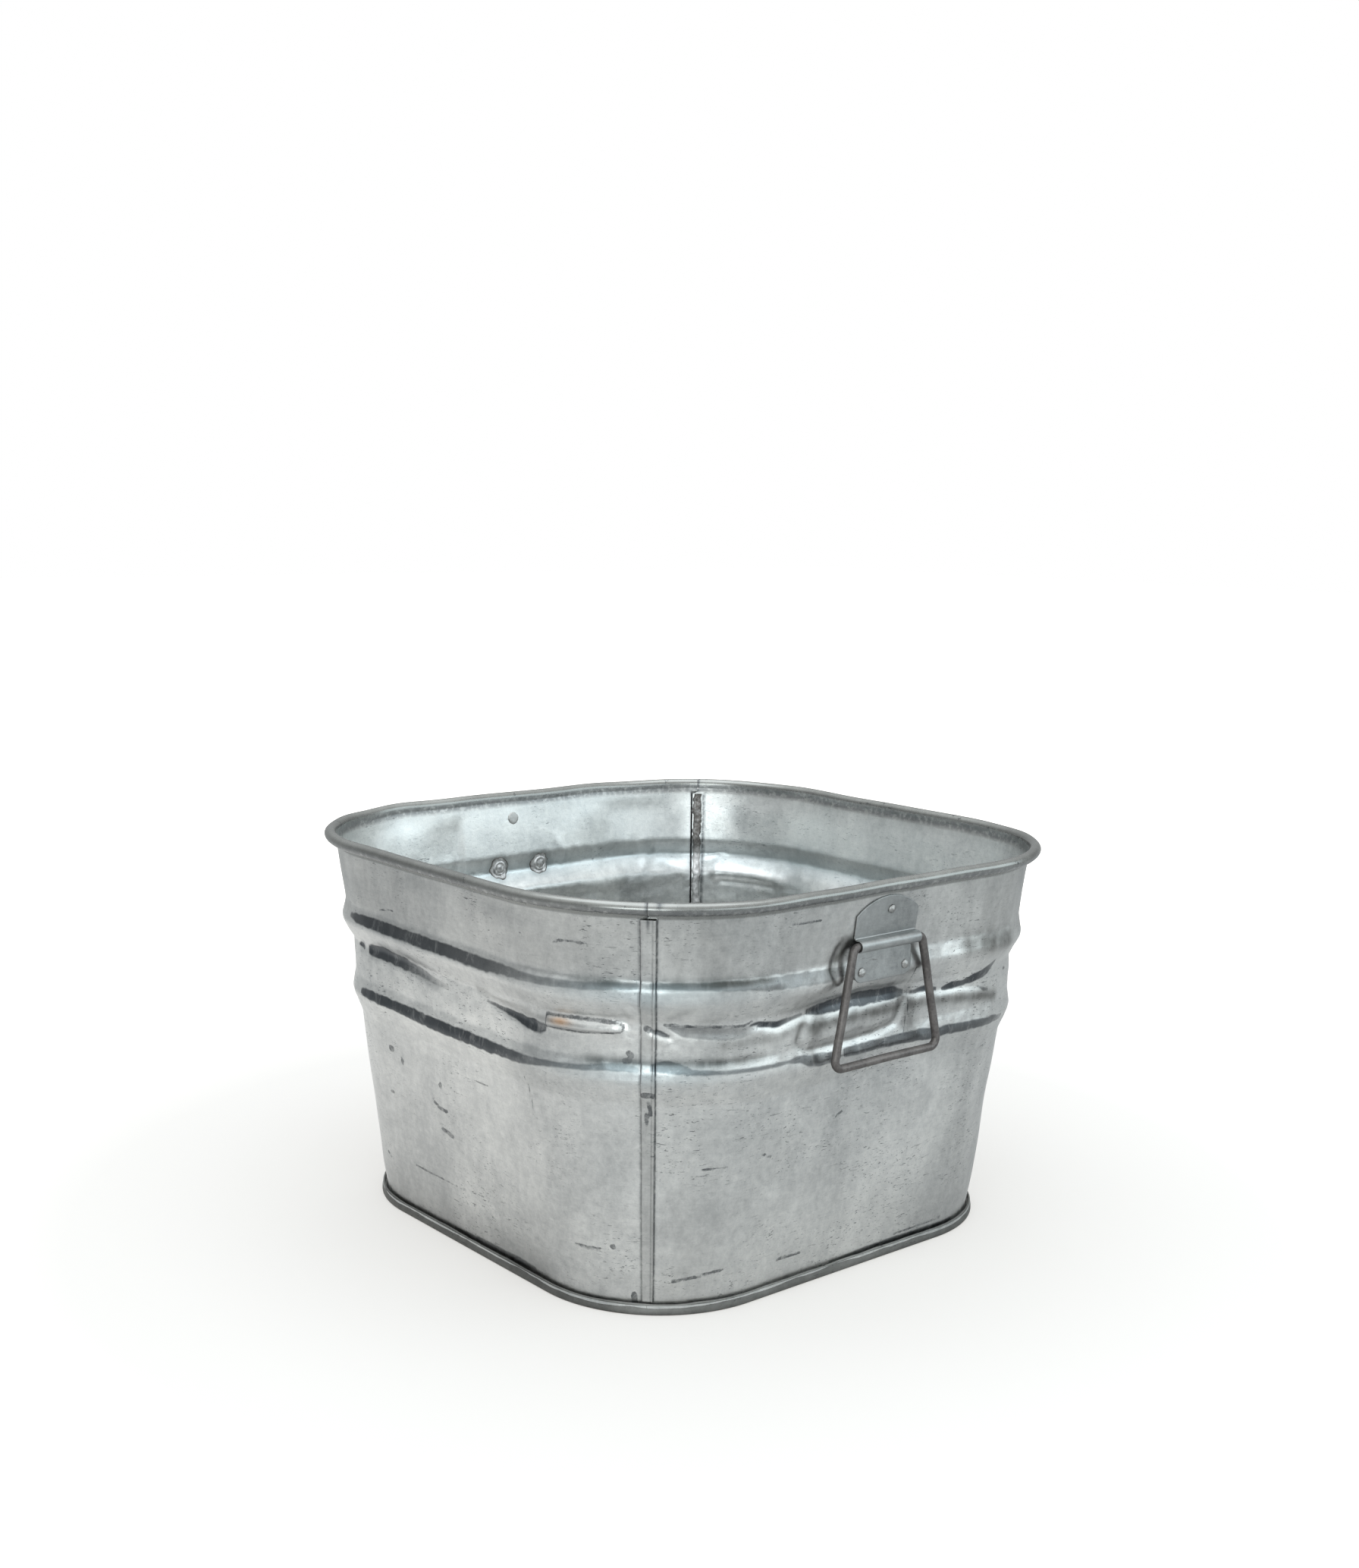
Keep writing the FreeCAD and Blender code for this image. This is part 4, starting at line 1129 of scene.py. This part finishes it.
body_half("body_sheet_right", "body_half_right", NEAR_SEAM, FAR_SEAM, -10, 430)
body_half("body_sheet_left", "body_half_left", FAR_SEAM - LOOP, NEAR_SEAM, -430, 20)
pan()

for side in (1, -1):
    ear(side)
    handle(side)
    rivets(side)
seam_solder("near_seam_strip", "near_seam_solder", NEAR_SEAM)
seam_solder("far_seam_strip", "far_seam_solder", FAR_SEAM)
rim_core()
for entry in bpy.data.objects["bottom_seam_solder"].material_slots:
    entry.material = solder_grey

# ---- floor, light and camera ----

scene = bpy.context.scene
scene.view_settings.view_transform = "Standard"
scene.view_settings.look = "None"

CAMERA_PLACE = Vector((1179.74, -993.73, 584.12)) * MM
CAMERA_AIM = Vector((44.41, -38.61, 363.29)) * MM
CAMERA_ROLL = math.radians(0.89)
LENS = 42.95
FLOOR_SEEN = 0.42, 1.2  # the floor's own brightness to the camera, near and far
FLOOR_GLOW = 0.34, 0.0  # and to the tub, on the left and on the right
# the room's brightness by height: 0 is straight down, 0.5 the horizon and 1 straight up
ROOM_LEVELS = [
    (0.0, 0.6), (0.49, 0.5), (0.515, 0.5), (0.55, 0.46), (0.62, 0.5), (0.72, 0.75), (0.85, 1.15), (1.0, 1.5),
]


def floor_material():
    """Pale and without shine. It lights the tub's left side, and to the camera it fades into the room."""
    m = Surface("pale_floor", metallic=0.0)
    m.shader["Base Color"].default_value = (0.43, 0.43, 0.43, 1)
    m.shader["Roughness"].default_value = 0.9
    m.shader["Specular IOR Level"].default_value = 0.0
    m.shader["Emission Color"].default_value = (1.0, 0.955, 0.9, 1)
    away = m.add("VectorMath", [(0, m.place)], "Value", operation="LENGTH")
    along_left = m.add("VectorMath", [(0, m.place), (1, (1, 0.35, 0))], "Value", operation="DOT_PRODUCT")
    glow = m.remap(along_left, -0.5, 0.45, *FLOOR_GLOW, easing="LINEAR")
    glow = m.calc("MULTIPLY", glow, m.remap(away, 0.5, 1.3, 1.0, 0.0, easing="LINEAR"))
    seen = m.remap(away, 0.5, 1.6, *FLOOR_SEEN, easing="LINEAR")
    to_camera = m.add("LightPath", output="Is Camera Ray")
    m.put(m.remap(to_camera, 0.0, 1.0, glow, seen, easing="LINEAR"), m.shader["Emission Strength"])
    return m.material


def floor():
    mesh = bpy.data.meshes.new("floor")
    far = 12.0
    mesh.from_pydata([(-far, -far, 0), (far, -far, 0), (far, far, 0), (-far, far, 0)], [], [(0, 1, 2, 3)])
    mesh.materials.append(floor_material())
    ground = bpy.data.objects.new("floor", mesh)
    scene.collection.objects.link(ground)


def room():
    """Plain white for the camera; for light and reflections a dark room, brighter low down and overhead."""
    world = bpy.data.worlds.new("room")
    scene.world = world
    world.use_nodes = True
    world.node_tree.nodes.clear()
    w = Nodes(world.node_tree)
    up = w.add("SeparateXYZ", [(0, w.add("TexCoord", output="Generated"))], "Z")
    colour = w.add("ValToRGB", [(0, w.calc("MULTIPLY_ADD", up, 0.5, 0.5))])
    marks = colour.node.color_ramp.elements
    while len(marks) < len(ROOM_LEVELS):
        marks.new(0.5)
    for mark, (where, level) in zip(marks, ROOM_LEVELS):
        mark.position = where
        mark.color = (level * 0.96, level, level * 1.01, 1)
    dim, bright = w.add("Background", [(0, colour)]), w.add("Background", [(0, (1, 1, 1, 1))])
    shown = w.add("MixShader", [(0, w.add("LightPath", output="Is Camera Ray")), (1, dim), (2, bright)])
    w.put(shown, w.tree.nodes.new("ShaderNodeOutputWorld").inputs[0])


def panel_light(name, place, aim, size, power, colour=(1, 1, 1)):
    lamp = bpy.data.lights.new(name, "AREA")
    lamp.shape = "RECTANGLE"
    lamp.size, lamp.size_y = size
    lamp.energy, lamp.color = power, colour
    made = bpy.data.objects.new(name, lamp)
    made.location = place
    made.rotation_euler = (Vector(aim) - Vector(place)).to_track_quat("-Z", "Y").to_euler()
    scene.collection.objects.link(made)


def camera():
    lens = bpy.data.cameras.new("camera")
    lens.lens, lens.sensor_width, lens.clip_end = LENS, 36, 60
    made = bpy.data.objects.new("camera", lens)
    turn = (CAMERA_AIM - CAMERA_PLACE).to_track_quat("-Z", "Y").to_matrix().to_4x4()
    made.matrix_world = Matrix.Translation(CAMERA_PLACE) @ turn @ Matrix.Rotation(CAMERA_ROLL, 4, "Z")
    scene.collection.objects.link(made)
    scene.camera = made


floor()
room()
panel_light("overhead", (0.0, -0.2, 2.4), (0, 0, 0), (2.4, 2.4), 20, (0.93, 1.0, 1.05))
panel_light("behind_camera", (2.0, -1.8, 1.1), (0, 0, 0.2), (2.2, 1.4), 5, (0.9, 0.98, 1.0))
panel_light("left_of_camera", (2.1, -2.6, 0.78), (0, 0, 0.25), (1.9, 0.8), 19, (0.92, 0.99, 1.0))
panel_light("right_side", (2.9, 0.1, 0.85), (0, 0, 0.25), (2.0, 0.9), 8, (0.85, 0.96, 1.0))
panel_light("right_window", (1.9, 1.9, 1.0), (0, 0, 0.25), (2.6, 1.2), 15, (0.82, 0.95, 1.0))
camera()
